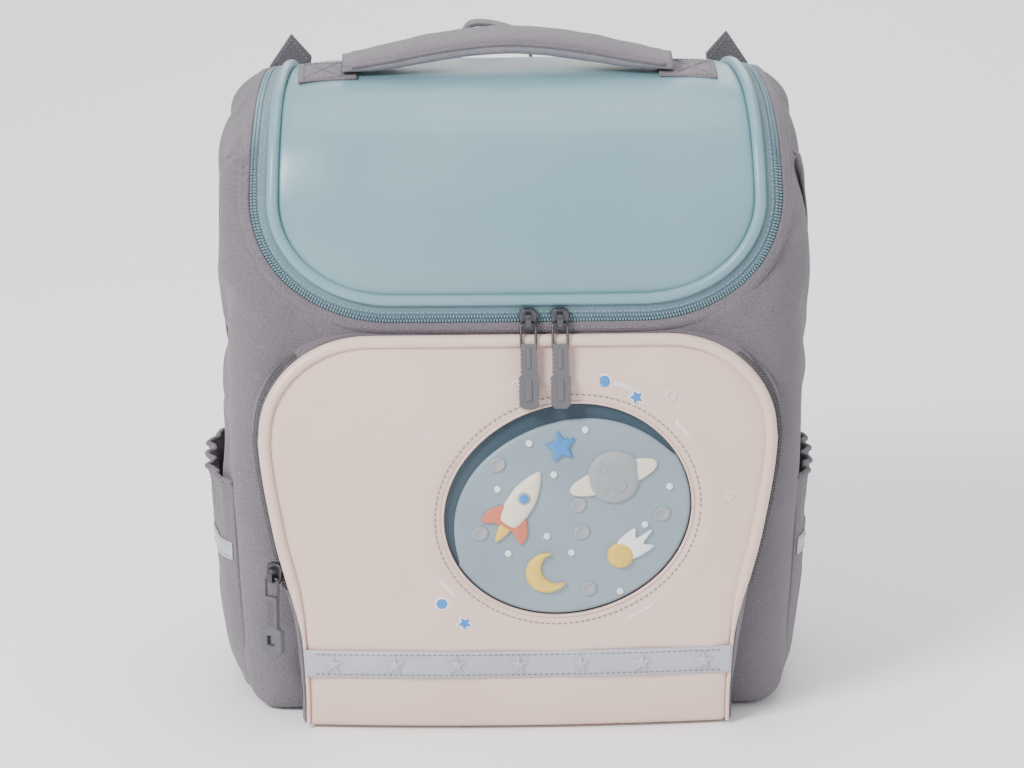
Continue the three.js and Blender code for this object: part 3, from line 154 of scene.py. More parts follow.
def make(name, points, faces, finish, nodes=(), body="bag", smooth=True, thickness=0):
    """A piece of the bag from points and faces, painted and bound to its body."""
    mesh = bpy.data.meshes.new(name)
    mesh.from_pydata([tuple(map(float, p)) for p in points], [], [tuple(f) for f in faces])
    mesh.validate()
    mesh.polygons.foreach_set("use_smooth", [smooth] * len(mesh.polygons))
    made = bpy.data.objects.new(name, mesh)
    bpy.context.scene.collection.objects.link(made)
    bpy.context.view_layer.objects.active = made
    bpy.ops.object.select_all(action="DESELECT")
    made.select_set(True)
    bpy.ops.object.mode_set(mode="EDIT")
    bpy.ops.mesh.select_all(action="SELECT")
    bpy.ops.mesh.normals_make_consistent(inside=False)
    bpy.ops.object.mode_set(mode="OBJECT")
    if thickness:
        wall = made.modifiers.new("wall", "SOLIDIFY")
        wall.thickness = thickness
        wall.offset = -1
    mesh.materials.append(finish)
    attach(made, body)
    if nodes:
        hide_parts(*nodes)
    return made


def paint(name, colour, second, rough=0.8, grain=900, height=0.0004, sheen=0.0, coat=0.0, weave=0.0,
          metal=0.0, holes=0.0, mottle=14, worn=0.5):
    """A finish with two mottled colours, a grain and, for cloth, a twill weave or a mesh of small holes
    whose insides are painted dark as painted shade.
    """
    made = bpy.data.materials.new(name)
    made.use_nodes = True
    nodes, links = made.node_tree.nodes, made.node_tree.links
    shader = nodes["Principled BSDF"]
    shader.inputs["Metallic"].default_value = metal
    shader.inputs["Sheen Weight"].default_value = sheen
    shader.inputs["Coat Weight"].default_value = coat
    shader.inputs["Coat Roughness"].default_value = 0.3
    place = nodes.new("ShaderNodeTexCoord").outputs["Object"]

    def texture(kind, scale, detail=2):
        """A pattern of dots or clouds that is fixed to the piece."""
        found = nodes.new(kind)
        links.new(place, found.inputs["Vector"])
        found.inputs["Scale"].default_value = scale
        if "Detail" in found.inputs:
            found.inputs["Detail"].default_value = detail
        return found

    def reckon(kind, *values):
        """A sum, product, difference or sine of numbers and of what other nodes give."""
        step = nodes.new("ShaderNodeMath")
        step.operation = kind
        for socket, value in zip(step.inputs, values):
            if isinstance(value, (int, float)):
                socket.default_value = value
            else:
                links.new(value, socket)
        return step.outputs[0]

    cloud = texture("ShaderNodeTexNoise", mottle, 5)
    speck = texture("ShaderNodeTexNoise", grain * 0.8, 2)
    shade = reckon("ADD", reckon("MULTIPLY", cloud.outputs["Fac"], worn),
                   reckon("MULTIPLY", speck.outputs["Fac"], 1 - worn))
    ramp = nodes.new("ShaderNodeValToRGB")
    ramp.color_ramp.elements[0].position, ramp.color_ramp.elements[1].position = 0.36, 0.66
    ramp.color_ramp.elements[0].color, ramp.color_ramp.elements[1].color = (*second, 1), (*colour, 1)
    links.new(shade, ramp.inputs["Fac"])
    links.new(ramp.outputs["Color"], shader.inputs["Base Color"])
    links.new(reckon("ADD", reckon("MULTIPLY", cloud.outputs["Fac"], 0.16), rough - 0.08),
              shader.inputs["Roughness"])
    relief = speck.outputs["Fac"]
    if weave:
        split = nodes.new("ShaderNodeSeparateXYZ")
        links.new(place, split.inputs[0])
        across = reckon("ADD", split.outputs[0], reckon("MULTIPLY", split.outputs[1], 0.8))
        rib = reckon("SINE", reckon("MULTIPLY", reckon("ADD", across, split.outputs[2]), weave), 0)
        falling = reckon("SUBTRACT", across, split.outputs[2])
        thread = reckon("SINE", reckon("MULTIPLY", falling, weave * 0.9), 0)
        relief = reckon("ADD", reckon("MULTIPLY", relief, 0.6),
                        reckon("MULTIPLY", reckon("ADD", rib, reckon("MULTIPLY", rib, thread)), 0.4))
    if holes:
        dots = texture("ShaderNodeTexVoronoi", holes)
        pit = nodes.new("ShaderNodeMapRange")
        pit.inputs["From Min"].default_value, pit.inputs["From Max"].default_value = 0.3, 0.42
        links.new(dots.outputs["Distance"], pit.inputs["Value"])
        # Painted shade: the colour is pulled nearly to black inside the mesh holes, for the shade that
        # falls in them.
        dark = nodes.new("ShaderNodeMix")
        dark.data_type = "RGBA"
        dark.inputs["A"].default_value = (*[c * 0.15 for c in second], 1)
        links.new(ramp.outputs["Color"], dark.inputs["B"])
        links.new(pit.outputs["Result"], dark.inputs["Factor"])
        links.new(dark.outputs["Result"], shader.inputs["Base Color"])
        relief = reckon("ADD", relief, pit.outputs["Result"])
    bump = nodes.new("ShaderNodeBump")
    bump.inputs["Strength"].default_value = 0.7
    bump.inputs["Distance"].default_value = height
    links.new(relief, bump.inputs["Height"])
    links.new(bump.outputs["Normal"], shader.inputs["Normal"])
    return made


grey_twill = paint("grey_twill", (0.20, 0.172, 0.20), (0.098, 0.083, 0.102), 0.82, 2300, 0.0005, sheen=0.2,
                   weave=3600, worn=0.3)
zip_edge = 13.8
lid_half_width, lid_corner_width, lid_corner_height, lid_back_narrowing = 139, 68, 58, 13
seam_path = []
for i in range(25):
    turn = math.pi / 48 * i
    seam_path.append((lid_half_width - lid_corner_width * (1 - math.sin(turn)),
                      lid_corner_height * (1 - math.cos(turn))))
side_run = lid_end - lid_start - lid_corner_height
for i in range(1, 61):
    seam_path.append((lid_half_width - lid_back_narrowing * (i / 60) ** 2,
                      lid_corner_height + side_run * i / 60))
seam_path = [(-x, y) for x, y in reversed(seam_path)] + [(x, y) for x, y in np.array(seam_path)]


def shifted(path, aside):
    """A flat path moved aside, to the right of its run."""
    points = np.array(path, float)
    run = np.gradient(points, axis=0)
    run /= np.maximum(np.hypot(run[:, 0], run[:, 1])[:, None], 1e-9)
    return points + np.stack([run[:, 1], -run[:, 0]], 1) * aside


def inside_lid(x, far, margin):
    """How far a place on the skin lies within the lid seam, widened by margin."""
    up = far - lid_start + margin
    if up <= 0 or far > lid_end + 2:
        return -1.0
    corner = lid_corner_height + margin
    if up < corner:
        half = lid_half_width + margin - (lid_corner_width + margin) * (
            1 - math.sqrt(max(0, 1 - max(0, 1 - up / corner) ** 2)))
    else:
        back_share = (far - lid_start - lid_corner_height) / side_run
        half = lid_half_width + margin - lid_back_narrowing * back_share ** 2
    return min(half - abs(x), up)


stations = [(-1, 90 - 15 * k) for k in range(6)]
stations += [(0, share) for share in np.linspace(-137, 137, 47)]
stations += [(1, 15 + 15 * k) for k in range(6)]
side_rings = 15
lengths = np.linspace(0, profile[-1, 6], 170)
shell_points, shell_held = [], []
for far in lengths:
    turned = np.interp(far, profile[:, 6], profile[:, 4])
    for side, value in stations:
        if side == 0:
            x = value * (body_width / 2 - turned) / 137
        else:
            x = side * (body_width / 2 - turned * (1 - math.sin(math.radians(value))))
        under = inside_lid(x, far, zip_edge - 0.5)
        height = np.interp(far, profile[:, 6], profile[:, 1])
        shell_points.append(skin(x, far, min(max(under * 2, 0), 6)))
        on_front_or_top = -75 < np.interp(far, profile[:, 6], profile[:, 0]) < 74
        seam = min(abs(abs(x) - 136) / 9, 1) if on_front_or_top else 1
        shell_held.append(1.0 if under > -6 or height < 3 else 1 - min(seam, 1) * 0.97)
columns = len(stations)
shell_faces = grid_faces(len(lengths), columns)
last_row = (len(lengths) - 1) * columns
shell_faces += [(last_row + j, last_row + j + 1, j + 1, j) for j in range(columns - 1)]
for edge in (0, columns - 1):
    ring = [i * columns + edge for i in range(len(lengths))]
    middle = np.array([shell_points[i] for i in ring]).mean(0)
    for k in range(1, side_rings):
        share = 1 - k / side_rings
        start = len(shell_points)
        for i in ring:
            point = shell_points[i]
            shell_points.append(middle + (point - middle) * share)
            shell_held.append(0.02)
        before = ring if k == 1 else list(range(start - len(lengths), start))
        now = list(range(start, start + len(lengths)))
        shell_faces += [(before[i - 1], before[i], now[i], now[i - 1]) for i in [*range(1, len(now)), 0]]
    shell_faces.append(tuple(now))
bag_body = make("bag_body", shell_points, shell_faces, grey_twill,
                ["body_front", "body_side_left", "body_side_right", "body_back", "body_base"])
held = bag_body.vertex_groups.new(name="held")
for index, weight in enumerate(shell_held):
    held.add([index], weight, "REPLACE")
for vertex in bag_body.data.vertices:
    wobble = noise.noise(vertex.co * 22) * 0.0034 + noise.noise(vertex.co * 58) * 0.0014
    vertex.co += vertex.normal * wobble * (1 - shell_held[vertex.index])


def simulate(cloth_piece, pressure=4.0, growth=0.035, bending=1.2, frames=20):
    """Lets the cloth of a piece swell and crumple between the places that hold it."""
    scene = bpy.context.scene
    scene.frame_start, scene.frame_end = 1, frames
    gravity, scene.use_gravity = scene.use_gravity, False
    cloth = cloth_piece.modifiers.new("cloth", "CLOTH")
    settings = cloth.settings
    settings.quality = 5
    settings.use_pressure = True
    settings.uniform_pressure_force = pressure
    settings.bending_stiffness = bending
    settings.tension_stiffness = settings.compression_stiffness = 20
    settings.shrink_min = -growth
    settings.air_damping = 3
    settings.vertex_group_mass = "held"
    settings.pin_stiffness = 30
    cloth.collision_settings.use_collision = False
    cloth.point_cache.frame_start, cloth.point_cache.frame_end = 1, frames
    before = np.array([v.co for v in cloth_piece.data.vertices])
    for step in range(1, frames + 1):
        scene.frame_set(step)
    moved = cloth_piece.evaluated_get(bpy.context.evaluated_depsgraph_get()).data
    after = np.array([v.co for v in moved.vertices])
    cloth_piece.modifiers.remove(cloth)
    scene.frame_set(1)
    scene.use_gravity = gravity
    way = after - before
    furthest = 0.0055
    way *= np.minimum(1, furthest / np.maximum(np.linalg.norm(way, axis=1)[:, None], 1e-9))
    for vertex, point in zip(cloth_piece.data.vertices, before + way):
        vertex.co = point


simulate(bag_body)
sides = bag_body.vertex_groups.new(name="sides")
first_side_point = len(lengths) * (columns + 3)
sides.add(list(range(first_side_point, len(shell_points) - 1)), 1.0, "REPLACE")
smoother = bag_body.modifiers.new("smoother", "SMOOTH")
smoother.vertex_group = "sides"
smoother.factor, smoother.iterations = 0.5, 12
finer = bag_body.modifiers.new("finer", "SUBSURF")
finer.levels = finer.render_levels = 1

# The lid: a panel of soft blue grey coated cloth over thin foam, sewn into a fat round piping.
# Its lower edge swells a little where the foam ends, and its middle lies flat over the top.
blue_skin = paint("blue_skin", (0.185, 0.325, 0.37), (0.15, 0.275, 0.32), 0.36, 1500, 0.00012, coat=0.12,
                  mottle=7, worn=0.8)


def on_lid(flat, sunk=0.0):
    """A place of the flat lid plan on the skin of the body."""
    return skin(float(flat[0]), lid_start + float(flat[1]), sunk)


def even(path, step):
    """Points at even distances along a flat path."""
    path = np.array(path, float)
    run = np.concatenate([[0], np.cumsum(np.hypot(*np.diff(path, axis=0).T))])
    at = np.linspace(0, run[-1], max(2, round(run[-1] / step) + 1))
    return np.stack([np.interp(at, run, path[:, 0]), np.interp(at, run, path[:, 1])], 1)


def swell(inside, reach, height):
    """How far padding stands up at a distance inside its seam."""
    return height * (1 - math.exp(-max(inside, 0) / reach))


lid_edge = shifted(seam_path, -1.5)
lid_rows, lid_columns = lid_edge[len(lid_edge) // 2:], 73
lid_points = []
for edge_x, up in lid_rows:
    for share in np.linspace(-1, 1, lid_columns):
        x = edge_x * share
        inside = max(0.0, min(inside_lid(x, lid_start + up, 0), 60))
        roll = 1.6 * math.exp(-((up - 20) / 16) ** 2) * (1 - abs(share) ** 4)
        roll += 1.0 * math.exp(-((abs(x) - 108) / 16) ** 2) * min(up / 60, 1)
        soft = noise.noise(Vector((x, up, 0)) * 0.018) * 0.9
        soft += noise.noise(Vector((x, up * 0.5, 3)) * 0.05) * 0.35
        wave = 0.7 * math.sin(x * 0.035 + 0.9) * math.exp(-((up - 34) / 18) ** 2)
        slack = (soft + wave) * min(inside / 15, 1)
        lid_points.append(on_lid((x, up), 2.2 - swell(inside, 6, 2.6) - roll - slack))
lid_panel = make("lid_panel_skin", lid_points, grid_faces(len(lid_rows), lid_columns), blue_skin,
                 ["lid_panel"], thickness=0.0025)


def sweep(name, path, section, place, finish, nodes=(), closed=True, wobble=0.0):
    """A strip or cord along a flat path; its section is a ring of (aside, sunk) in millimetres."""
    tracks = [shifted(path, aside) for aside, sunk in section]
    points = []
    for i in range(len(path)):
        lift = noise.noise(Vector((i * 0.11, len(path), 0))) * wobble
        points += [place(track[i], sunk + lift) for track, (aside, sunk) in zip(tracks, section)]
    faces = grid_faces(len(path), len(section), closed=closed)
    if closed:
        faces += [tuple(range(len(section))),
                  tuple(range(len(points) - 1, len(points) - 1 - len(section), -1))]
    return make(name, points, faces, finish, nodes)


def round_section(aside, sunk, radius, sides=12):
    """The ring of a round cord."""
    return [(aside + radius * math.cos(math.tau * k / sides),
             sunk + radius * math.sin(math.tau * k / sides)) for k in range(sides)]


def flat_section(start, end, face, back, bulge=0.0):
    """The ring of a flat band with softened edges."""
    soft = min(0.4, (back - face) / 2)
    middle = (start + end) / 2
    return [(start, back), (start, face + soft), (start + soft, face), (middle, face - bulge),
            (end - soft, face), (end, face + soft), (end, back)]


lid_path = even(seam_path, 3.5)
sweep("lid_piping_cord", lid_path, round_section(0, 0, 3.3), on_lid, blue_skin,
      ["lid_piping"], wobble=0.25)


def blocks(name, frames, size, finish, body="bag", nodes=()):
    """Many small rounded blocks; a frame is (middle, along, aside, up), a size is along, aside, up."""
    cut_corners = [(-1, -0.6), (-0.6, -1), (0.6, -1), (1, -0.6), (1, 0.6), (0.6, 1), (-0.6, 1), (-1, 0.6)]
    points, faces = [], []
    for middle, along, aside, up in frames:
        start = len(points)
        for level, shrink in ((-1, 0.8), (0, 1.0), (1, 0.55)):
            for a, b in cut_corners:
                out = along * size[0] * a * shrink + aside * size[1] * b * shrink + up * size[2] * level
                points.append(middle + out / 2000)
        faces += grid_faces(3, 8, start, closed=True)
        faces += [tuple(range(start + 7, start - 1, -1)), tuple(range(start + 16, start + 24))]
    return make(name, points, faces, finish, nodes, body)


def frames_along(path, place, aside, sunk, pitch, start=0.0):
    """Places at an even pitch beside a flat path, each with its run, its side and its way up."""
    line = even(shifted(path, aside), 1.0)
    run = np.gradient(line, axis=0)
    found = []
    for at in np.arange(start + pitch / 2, len(line) - 1, pitch):
        spot = np.array([np.interp(at, range(len(line)), line[:, k]) for k in (0, 1)])
        step = np.array([np.interp(at, range(len(line)), run[:, k]) for k in (0, 1)])
        here = place(spot, sunk)
        along = place(spot + step * 0.5, sunk) - place(spot - step * 0.5, sunk)
        up = place(spot, sunk - 1) - here
        along, up = along / np.linalg.norm(along), up / max(np.linalg.norm(up), 1e-9)
        found.append((here, along, np.cross(up, along), up))
    return found


# The lid zip: woven blue tape beside the piping, a nylon coil in two rows of teeth that meet in
# a line, and a folded and stitched edge of the body cloth round it.
blue_tape = paint("blue_tape", (0.15, 0.24, 0.29), (0.105, 0.18, 0.225), 0.75, 1500, 0.0004, sheen=0.2,
                  weave=5200, worn=0.3)
blue_teeth = paint("blue_teeth", (0.19, 0.285, 0.335), (0.12, 0.195, 0.24), 0.4, 1800, 0.0001, coat=0.1)
grey_thread = paint("grey_thread", (0.20, 0.185, 0.20), (0.13, 0.12, 0.135), 0.7, 3000, 0.0002, sheen=0.3)
blue_thread = paint("blue_thread", (0.26, 0.37, 0.42), (0.2, 0.3, 0.35), 0.6, 3000, 0.0002, sheen=0.3)
sweep("lid_gusset_tape", lid_path, flat_section(2.6, 8.6, 0.4, 3, 0.3), on_lid, blue_tape,
      ["lid_gusset"], wobble=0.15)
sweep("lid_zip_tape", lid_path, flat_section(8.4, 14.4, 1.0, 2.4), on_lid, blue_tape,
      ["lid_zip"])
blocks("lid_teeth_inner", frames_along(lid_path, on_lid, 10.1, 0.6, 1.7), (1.15, 2.3, 1.7), blue_teeth)
blocks("lid_teeth_outer", frames_along(lid_path, on_lid, 12.2, 0.6, 1.7, 0.85), (1.15, 2.3, 1.7),
       blue_teeth)
blocks("lid_gusset_stitches", frames_along(lid_path, on_lid, 7.3, 0.15, 3.2), (2.2, 0.55, 0.6), blue_thread)
sweep("lid_zip_hem", lid_path, flat_section(13.4, 19.5, -0.7, 1.8, 0.35), on_lid, grey_twill,
      wobble=0.3)
blocks("lid_hem_stitches", frames_along(lid_path, on_lid, 16.9, -1.05, 3.4), (2.4, 0.6, 0.6), grey_thread)

# Cast zip sliders, dark plated, with a bridge that holds the wire loop of a moulded rubber pull.
# The two lid pulls have ribbed edges and a raised bar; the pocket's is broad with a small window.
# A closure is its name, the hinge of its pull in metres, its turn and the pull's lean in degrees.
slider_metal = paint("slider_metal", (0.10, 0.10, 0.112), (0.06, 0.06, 0.068), 0.36, 2200, 0.00008,
                     metal=0.85, coat=0.1)
pull_rubber = paint("pull_rubber", (0.115, 0.113, 0.128), (0.08, 0.079, 0.09), 0.52, 2600, 0.00012,
                    coat=0.05)


def moulded(name, outline, thick, matrix, finish, nodes=(), body="bag", soften=0.0005, low=0.0,
            hole=None):
    """A solid cut from a flat outline in millimetres, its edges softened, put in place by matrix."""
    count = len(outline)
    points = [(x / 1000, y / 1000, (low + z) / 1000) for z in (-thick / 2, thick / 2) for x, y in outline]
    faces = [(i, (i + 1) % count, count + (i + 1) % count, count + i) for i in range(count)]
    if hole:
        points += [(x / 1000, y / 1000, (low + z) / 1000) for z in (-thick / 2, thick / 2) for x, y in hole]
        start = 2 * count
        inner = len(hole)
        nearest = [min(range(inner), key=lambda k: math.dist(hole[k], corner)) for corner in outline]
        for level, (outside, inside) in enumerate(((0, start), (count, start + inner))):
            for i in range(count):
                j = (i + 1) % count
                a, b = nearest[i], nearest[j]
                faces.append((outside + i, outside + j, inside + a))
                if a != b:
                    faces.append((outside + j, inside + b, inside + a))
        faces += [(start + (i + 1) % inner, start + i, start + inner + i, start + inner + (i + 1) % inner)
                  for i in range(inner)]
    else:
        faces += [tuple(range(count - 1, -1, -1)), tuple(range(count, 2 * count))]
    solid = make(name, [matrix @ Vector(p) for p in points], faces, finish, nodes, body, smooth=False)
    if soften:
        edge = solid.modifiers.new("edge", "BEVEL")
        edge.width, edge.segments = soften, 3
        edge.limit_method, edge.angle_limit = "ANGLE", math.radians(35)
    return solid


def tube(name, route, radius, finish, nodes=(), body="bag", closed=False, sides=12):
    """A round wire or cord through points in metres."""
    points = []
    count = len(route)
    for i, spot in enumerate(route):
        if closed:
            before, after = route[i - 1], route[(i + 1) % count]
        else:
            before, after = route[max(i - 1, 0)], route[min(i + 1, count - 1)]
        along = (Vector(after) - Vector(before)).normalized()
        aside = along.orthogonal() if i == 0 else (last_aside - along * last_aside.dot(along)).normalized()
        aside.normalize()
        last_aside = aside
        other = along.cross(aside)
        points += [Vector(spot) + (aside * math.cos(t) + other * math.sin(t)) * radius
                   for t in np.linspace(0, math.tau, sides, endpoint=False)]
    faces = grid_faces(count, sides, closed=True)
    if closed:
        last = (count - 1) * sides
        shift = min(range(sides), key=lambda k: sum(
            (points[last + j] - points[(j + k) % sides]).length for j in range(sides)))
        faces += [(last + j, last + (j + 1) % sides, (j + 1 + shift) % sides, (j + shift) % sides)
                  for j in range(sides)]
    else:
        faces += [tuple(range(sides)), tuple(range(count * sides - 1, (count - 1) * sides - 1, -1))]
    return make(name, points, faces, finish, nodes, body)


slider_plan = [(-5.5, 3.5), (-4.6, 5.4), (-2.5, 6.5), (2.5, 6.5), (4.6, 5.4), (5.5, 3.5), (4.4, -3.2),
               (3.4, -5.4), (2.0, -6.5), (-2.0, -6.5), (-3.4, -5.4), (-4.4, -3.2)]
bridge_plan = [(-4.2, -0.3), (-4.2, 3.2), (-3.2, 4.4), (-1.8, 4.7), (1.8, 4.7), (3.2, 4.4), (4.2, 3.2),
               (4.2, -0.3), (3.0, -0.3), (2.9, 2.9), (1.6, 3.5), (-1.6, 3.5), (-2.9, 2.9), (-3.0, -0.3)]
closures = [("lid_left", (0.006, -0.08316, 0.23969), 0, -23),
            ("lid_right", (0.024, -0.08310, 0.23969), 0, -23),
            ("pocket", (-0.14096, -0.09912, 0.09410), -35, 0)]
for side, hinge, turn, lean in closures:
    turn, lean = math.radians(turn), math.radians(lean)
    outward = Vector((math.sin(turn), -math.cos(turn), 0))
    seat = Vector(hinge) - outward * 0.0051 + Vector((0, 0, 0.0019))
    stand = Matrix.Translation(seat) @ Matrix.Rotation(turn, 4, "Z") @ Matrix.Rotation(math.pi / 2, 4, "X")
    slider_node = side + "_slider" if side == "pocket" else side.replace("_", "_slider_")
    pull_node = side + "_pull" if side == "pocket" else side.replace("_", "_pull_")
    moulded(side + "_slider_plate", slider_plan, 3.2, stand, slider_metal, [slider_node],
            soften=0.0009, low=1.7)
    moulded(side + "_slider_bridge", bridge_plan, 3.6,
            stand @ Matrix(((0, 0, 1, 0), (1, 0, 0, 0), (0, 1, 0, 0.0033), (0, 0, 0, 1))),
            slider_metal, soften=0.0005)
    hang = (Matrix.Translation(hinge) @ Matrix.Rotation(turn, 4, "Z")
            @ Matrix.Rotation(math.pi / 2 + lean, 4, "X"))
    loop = []
    loop_corners = [(2.6, -1.6, 90), (2.6, -12.4, 0), (-2.6, -12.4, -90), (-2.6, -1.6, -180)]
    for corner_x, corner_y, first in loop_corners:
        loop += [hang @ Vector(((corner_x + 1.6 * math.cos(math.radians(first - k * 15))) / 1000,
                                (corner_y + 1.6 * math.sin(math.radians(first - k * 15))) / 1000, 0))
                 for k in range(7)]
    tube(side + "_wire_loop", loop, 0.0008, slider_metal, [pull_node], pull_node,
         closed=True)
    if side == "pocket":
        moulded(side + "_pull_neck", [(4, -11.2), (4, -30.8), (-4, -30.8), (-4, -11.2)], 4.0, hang,
                pull_rubber, body=pull_node, soften=0.0006)
        corners = [(4, -30), (7.2, -31.6), (7.2, -44.2), (3, -48.2), (-3, -48.2), (-7.2, -44.2),
                   (-7.2, -31.6), (-4, -30)]
        moulded(side + "_pull_block", corners, 4.4, hang, pull_rubber, body=pull_node,
                soften=0.0008,
                hole=[(2.6, -35), (2.6, -41), (-2.6, -41), (-2.6, -35)])
        ways = [np.array((hang.to_3x3() @ Vector(v))[:]) for v in ((0, 1, 0), (1, 0, 0), (0, 0, 1))]
        bumps = [(np.array((hang @ Vector((x / 1000, -y / 1000, 0.0021)))[:]), *ways)
                 for row, y in enumerate(np.arange(14, 29, 2.0))
                 for x in ((-2, 0, 2) if row % 2 else (-1, 1))]
        blocks(side + "_pull_bumps", bumps, (1.3, 1.3, 0.8), pull_rubber, pull_node)
    else:
        ribs, rib_cut, pull_foot = 7, 0.7, 48.0
        half_plan = []
        for width, top, tall in ((9.4, 11.2, 17.0), (11.6, 29.6, 16.6)):
            for rib in range(ribs):
                start = top + tall * rib / ribs
                half_plan += [(width / 2 - rib_cut, -start), (width / 2 - 0.1, -start - 0.5),
                              (width / 2, -start - 1.2), (width / 2 - 0.1, -start - 1.8)]
            half_plan.append((width / 2 - rib_cut, -top - tall))
        half_plan.append((11.6 / 2 - 2.6, -pull_foot))
        plan = half_plan + [(-x, y) for x, y in reversed(half_plan)]
        moulded(side + "_pull_rubber", plan, 3.6, hang, pull_rubber, body=pull_node,
                soften=0.0003)
        for part, wide, top, foot in (("neck", 2.6, 13.4, 25.6), ("block", 3.6, 31.4, 43.8)):
            bar = [(wide / 2, -top), (wide / 2, -foot), (-wide / 2, -foot), (-wide / 2, -top)]
            moulded(side + "_pull_bar_" + part, bar, 5.0, hang, pull_rubber, body=pull_node,
                    soften=0.0006)

# The front pocket: a padded panel of pale pink coated cloth in a fat piping, standing on a grey
# gusset. A row is the height share, the width share, the stand-off share and the crown share.
pocket_floor, pocket_height, pocket_half_width = 2, 231, 147
pocket_depth, pocket_crown, pocket_corner_width, pocket_corner_height = 27, 5, 62, 54
pocket_table = [(0, .845, .8, 1.1), (.12, .847, .94, 1.1), (.3, .872, 1, .9), (.5, .945, .97, 1),
                (.72, 1, .8, .9), (.88, 1, .52, .5), (1, .99, .28, 0)]
pink_skin = paint("pink_skin", (0.77, 0.565, 0.495), (0.70, 0.50, 0.435), 0.38, 1500, 0.00014, coat=0.1,
                  mottle=9, worn=0.85)


def on_pocket(flat, sunk=0.0):
    """A place of the pocket's front, x and z in millimetres, sunk towards the body."""
    x, z = float(flat[0]), float(flat[1])
    share, width, off, crown = read(pocket_table, (z - pocket_floor) / pocket_height)
    crown_here = pocket_crown * crown * max(0, 1 - (x / (pocket_half_width * width)) ** 2)
    y = -body_depth / 2 - pocket_depth * off - crown_here + sunk
    return np.array([x, y, z]) / 1000


pocket_top = pocket_floor + pocket_height
pocket_path = []
for i in range(21):
    turn = math.pi / 40 * i
    pocket_path.append((pocket_half_width - pocket_corner_width * (1 - math.sin(turn)),
                        pocket_top - pocket_corner_height * (1 - math.cos(turn))))
for z in np.linspace(pocket_top - pocket_corner_height, pocket_floor, 60)[1:]:
    pocket_path.append((pocket_half_width * read(pocket_table, (z - pocket_floor) / pocket_height)[1], z))
pocket_path = [(-x, z) for x, z in reversed(pocket_path)] + pocket_path
pocket_path = even(pocket_path, 3.5)


window_x, window_z, window_half_width, window_half_height, window_lean = 28, 134, 71, 62, 0.035
crescent_middle = math.radians(117)


def window_rim(turn, outside=0.0, crescent=0.0):
    """A point of the picture window's rim, or inside or outside it."""
    reach = math.hypot(math.cos(turn) / window_half_width, math.sin(turn) / window_half_height)
    radius = (1 + window_lean * math.sin(2 * turn)) / reach + outside
    radius -= crescent * max(0, math.cos(turn - crescent_middle)) ** 0.6
    return np.array([window_x + radius * math.cos(turn), window_z + radius * math.sin(turn)])


outline = shifted(pocket_path, 4.2)
outline = even(np.vstack([outline, outline[:1]]), 3.6)[:-1]
turns = [math.atan2(z - window_z, x - window_x) for x, z in outline]
panel_points, rings = [], 34
for k in range(-2, rings + 4):
    for turn, edge in zip(turns, outline):
        inner = window_rim(turn)
        spot = inner + (edge - inner) * min(max(k, 0), rings) / rings
        from_edge = math.dist(spot, edge)
        from_rim = math.dist(spot, inner)
        puff = 1.9 * math.exp(-from_edge / 7) + 1.1 * math.exp(-from_rim / 3.5)
        puff -= 0.9 * math.exp(-((from_rim - 12) / 7) ** 2)
        soft = noise.noise(Vector((spot[0], spot[1], 5)) * 0.02) * 1.1
        soft += noise.noise(Vector((spot[0] * 1.3, spot[1] * 0.6, 9)) * 0.055) * 0.4
        fold = 0.5 * math.sin(spot[0] * 0.05 + 1) * math.exp(-((spot[1] - 22) / 14) ** 2)
        sunk = puff - (soft + fold) * min(1, min(from_edge, from_rim) / 16) + 1.6 * max(-k, k - rings, 0)
        panel_points.append(on_pocket(spot, sunk))
pocket_panel = make("pocket_panel_skin", panel_points, grid_faces(rings + 6, len(turns), closed=True),
                    pink_skin, ["pocket_panel"])
seam_line, outer_line = shifted(pocket_path, 3.2), shifted(pocket_path, 4.2)
cord_points = []
for i, flat in enumerate(seam_line):
    thick = 1.1 + 2.3 * min(max((flat[1] - 58) / 34, 0), 1)
    side_way = outer_line[i] - flat
    wobble = noise.noise(Vector((i * 0.1, 3, 0))) * 0.3
    for k in range(12):
        turn = math.tau * k / 12
        sunk = 1.2 + thick * math.sin(turn) + wobble
        cord_points.append(on_pocket(flat + side_way * thick * math.cos(turn), sunk))
make("pocket_piping_cord", cord_points, grid_faces(len(seam_line), 12, closed=True), pink_skin,
     ["pocket_piping"])

# The gusset of the pocket: a strip of grey twill, a little slack, sewn to the zip tape in front
# and to the front of the body behind. It flares outward where the zip is and is flat at the foot.
gusset_points, gusset_columns = [], 12
for i, flat in enumerate(shifted(pocket_path, 0.8)):
    front = on_pocket(flat, 4.6)
    foot = -0.0735 if flat[1] < 200 else -0.0715
    for k in range(gusset_columns):
        share = k / (gusset_columns - 1)
        slack = math.sin(math.pi * share) * (noise.noise(Vector((i * 0.12, k * 0.3, 2))) * 0.0022 + 0.0004)
        out = np.array([flat[0], 0, flat[1] - 120]) / max(1, math.hypot(flat[0], flat[1] - 120))
        slack += 0.0042 * math.sin(math.pi * min(share * 1.3, 1) / 2) * min(1, flat[1] / 90)
        straight = np.array([front[0], front[1] + (foot - front[1]) * share, front[2]])
        gusset_points.append(straight + out * slack)
make("pocket_gusset_cloth", gusset_points, grid_faces(len(pocket_path), gusset_columns), grey_twill,
     ["pocket_gusset"], thickness=0.0015)

